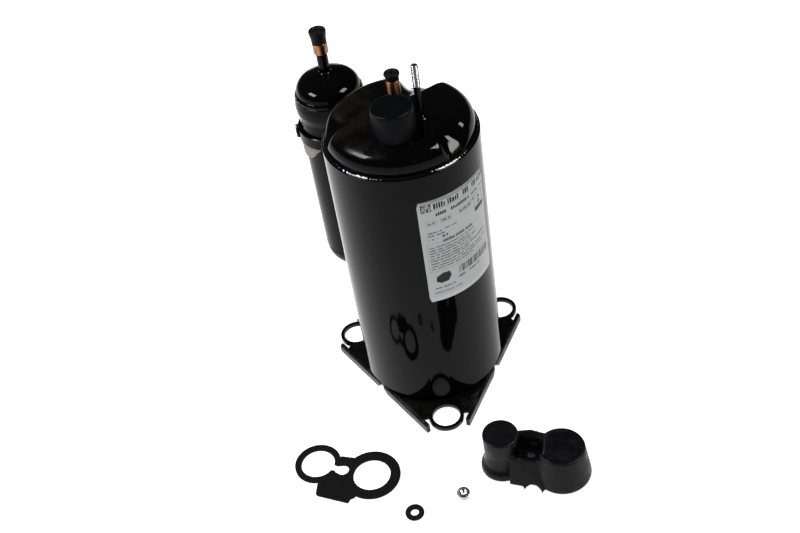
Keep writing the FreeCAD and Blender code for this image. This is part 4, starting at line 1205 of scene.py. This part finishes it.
def cover_outside():
    """Humps, the two walls of the saddle and the teeth, joined; then the well, dips and arch cut."""
    small, large = hump_outlines()
    body = lathe("small_hump", on_floor(small), SMALL_HUMP, 96)
    span = HUMP_SPAN
    parts = [lathe("large_hump", on_floor(large), LARGE_HUMP, 112)]
    parts.append(cover_hull("back_wall", [(4, 6.5, 0), (4, 13.5, 0), (4, 6.5, 29.6), (4, 9.5, 30.0),
                                          (span - 6, 6.5, 0), (span - 6, 15.5, 0), (span - 8, 6.5, 28.6),
                                          (span - 8, 11.0, 29.0), (20, 13.5, 29.8), (20, 16.5, 0)]))
    parts.append(cover_hull("front_wall", [(8, -11.0, 24.5), (8, 0, 18), (8, -17.5, 2), (8, -15.5, 0),
                                           (8, 9, 18), (8, 9, 0), (34, -11.5, 24.0), (34, 0, 18),
                                           (34, -19.5, 2), (34, -17.5, 0), (34, 9, 18), (34, 9, 0)]))
    for along, side in ((19.2, -20.3), (32.4, -21.8)):
        parts.append(cover_hull("tooth", [(along - 2.4, side + 6, 0), (along + 2.4, side + 6, 0),
                                          (along, side, 0), (along, side + 0.8, 1.4),
                                          (along - 1.2, side + 5, 9), (along + 1.2, side + 5, 9)]))
    for part in parts:
        body = combined(body, part, "UNION")
    cuts = [cover_hull("well", [(10.5, -8.6, 26), (33, -8.8, 26), (32, 7.2, 30), (11, 7.2, 30),
                                (13, -6.6, 17.0), (30, -6.6, 17.0), (29.5, 5.4, 15.0), (13.5, 5.4, 15.0),
                                (10.5, -8.6, 32), (33, -8.8, 32)])]
    for along in (15.2, 27.6):
        cuts.append(cover_hull("dip", [(along - 2.8, -25, 28), (along + 2.8, -25, 28), (along, -25, 23.2),
                                       (along - 2.8, -3, 28), (along + 2.8, -3, 28), (along, -3, 22.6)]))
    arch_points = []
    for k in range(9):
        a = math.pi * k / 8
        for side in (-30.0, -13.0):
            arch_points.append((25.8 + 5.6 * math.cos(a), side, 5.6 * math.sin(a) - 1.0))
    cuts.append(cover_hull("arch", arch_points))
    for cut in cuts:
        body = combined(body, cut, "DIFFERENCE")
    return body


def cover_inside():
    """What the hollow underside and the stud hole take away."""
    wall = 2.2
    cuts = []
    for name, hump, foot_r, top_r, top in (("small_hollow", SMALL_HUMP, 13.6, 10.8, SMALL_TOP - wall),
                                           ("large_hollow", LARGE_HUMP, 18.9, 15.2, LARGE_TOP - wall)):
        outline = on_floor([(0, -2), (foot_r, -2), (foot_r, 4.0, 2.0), (top_r, 11.0, 3.0),
                            (top_r, top, 1.2), (0, top)])
        cuts.append(lathe(name, outline, hump, 80))
    far = HUMP_SPAN - 6
    corners = [cover_point(*place) for place in ((4, -10.0), (far, -10.0), (far, 6.0), (4, 6.0))]
    cuts.append(prism("saddle_hollow", corners, FLOOR - 2, FLOOR + 10.0))
    hole = on_floor([(0, -3), (2.9, -3), (2.9, 24), (0, 24)])
    cuts.append(lathe("stud_hole", hole, cover_point(21.6, 0.9), 48))
    return cuts


def terminal_cover():
    """The moulded cover: two humps, a sunk saddle with the stud hole, a dipped lip and two teeth."""
    body = cover_outside()
    for cut in cover_inside():
        body = combined(body, cut, "DIFFERENCE")
    tongue = cover_hull("tongue", [(20.5, -6.5, 19.2), (29.5, -6.5, 18.6), (23.2, -2.4, 18.0),
                                   (27.6, -1.0, 17.2), (20.5, -7.5, 15), (29.5, -7.5, 15),
                                   (27.6, -1.0, 14.5), (23.2, -2.4, 14.5)])
    body = combined(body, tongue, "UNION")
    remesh = body.modifiers.new("even", "REMESH")
    remesh.mode = "VOXEL"
    remesh.voxel_size = 0.55 * MM
    soften = body.modifiers.new("soften", "SMOOTH")
    soften.factor = 0.5
    soften.iterations = 5
    applied(body)
    body.data.materials.clear()
    body.name = "moulded_terminal_cover"
    smooth(body, weighted=False)
    return finish_piece(body, COVER_RUBBER, "loose_terminal_cover", ["terminal_cover"])


def gasket():
    piece = smooth(bevelled_copy("cover_gasket", "sheet_gasket", 0.25))
    return finish_piece(piece, SHEET_RUBBER, "loose_gasket", ["cover_gasket"])


def washer():
    outline = on_floor([(3.1, 0, 0.3), (7.0, 0, 0.5), (7.0, 1.9, 0.6), (3.1, 1.9, 0.5)])
    piece = smooth(lathe("rubber_washer", outline, axis("cover_washer"), 96))
    return finish_piece(piece, SHEET_RUBBER, "loose_washer", ["cover_washer"])


def nut():
    """A flange nut lying hex down: chamfered hexagon, dished flange and a threaded bore."""
    at = axis("cover_nut")
    flange_z = 3.6
    blank = on_floor([(0, 0), (4.1, 0, 0.1), (4.7, 0.7, 0.2), (4.7, flange_z - 0.2, 0.3),
                      (4.9, flange_z, 0.3), (4.9, 4.7, 0.35), (3.3, 4.55, 0.3), (0, 4.5)])
    body = lathe("flange", blank, at, 96)
    corner = 4.0 / math.cos(math.radians(30))
    turns = [math.radians(60 * k + 12) for k in range(6)]
    hexagon = [(at[0] + corner * math.cos(a), at[1] + corner * math.sin(a)) for a in turns]
    keep = prism("trim", hexagon, FLOOR - 1, FLOOR + flange_z)
    overlap = 0.001
    upper = on_floor([(0, flange_z - overlap), (6, flange_z - overlap), (6, 8), (0, 8)])
    keep = combined(keep, lathe("upper", upper, at, 48), "UNION")
    body = combined(body, keep, "INTERSECT")
    bore = lathe("bore", on_floor([(0, -1), (2.55, -1), (2.55, 9), (0, 9)]), at, 40)
    body = combined(body, bore, "DIFFERENCE")
    thread = thread_mesh("thread", at, FLOOR + 0.3, FLOOR + 4.4, 2.5, 2.62)
    piece = joined_pieces("flange_nut", [body, thread])
    return finish_piece(piece, ZINC, "loose_nut", ["cover_nut"])


terminal_cover()
gasket()
washer()
nut()


# ---------------------------------------------------------------- CAD nodes that stay
def paint_nodes():
    """Procedural finishes for the CAD pieces that are shown as they are."""
    finishes = {
        HIDDEN_BLACK: ("bottom_cap", "suction_elbow", "suction_fitting"),
        WELD_BLACK: ("foot_weld",),
        TERMINAL_STEEL: ("terminal_body", "terminal_pins"),
        GLASS: ("terminal_glass",),
        NYLON: ("lead_connector",),
        SLEEVING: ("lead_wires",),
        PUMP_IRON: ("cylinder_block", "main_bearing", "sub_bearing", "crankshaft"),
        GROUND: ("roller", "vane", "reed_valve", "valve_stop", "valve_rivet", "pump_bolts", "vane_spring",
                 "oil_paddle"),
        PRESSED: ("muffler_cover", "acc_standpipe", "acc_screen"),
        LAMINATED: ("stator_core", "rotor_core"),
        WIRE: ("stator_winding",),
        ALUMINIUM: ("rotor_end_rings",),
        BRASS: ("balance_weights",),
    }
    for mat, names in finishes.items():
        for name in names:
            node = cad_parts[name]
            node.data.materials.clear()
            node.data.materials.append(mat)


paint_nodes()
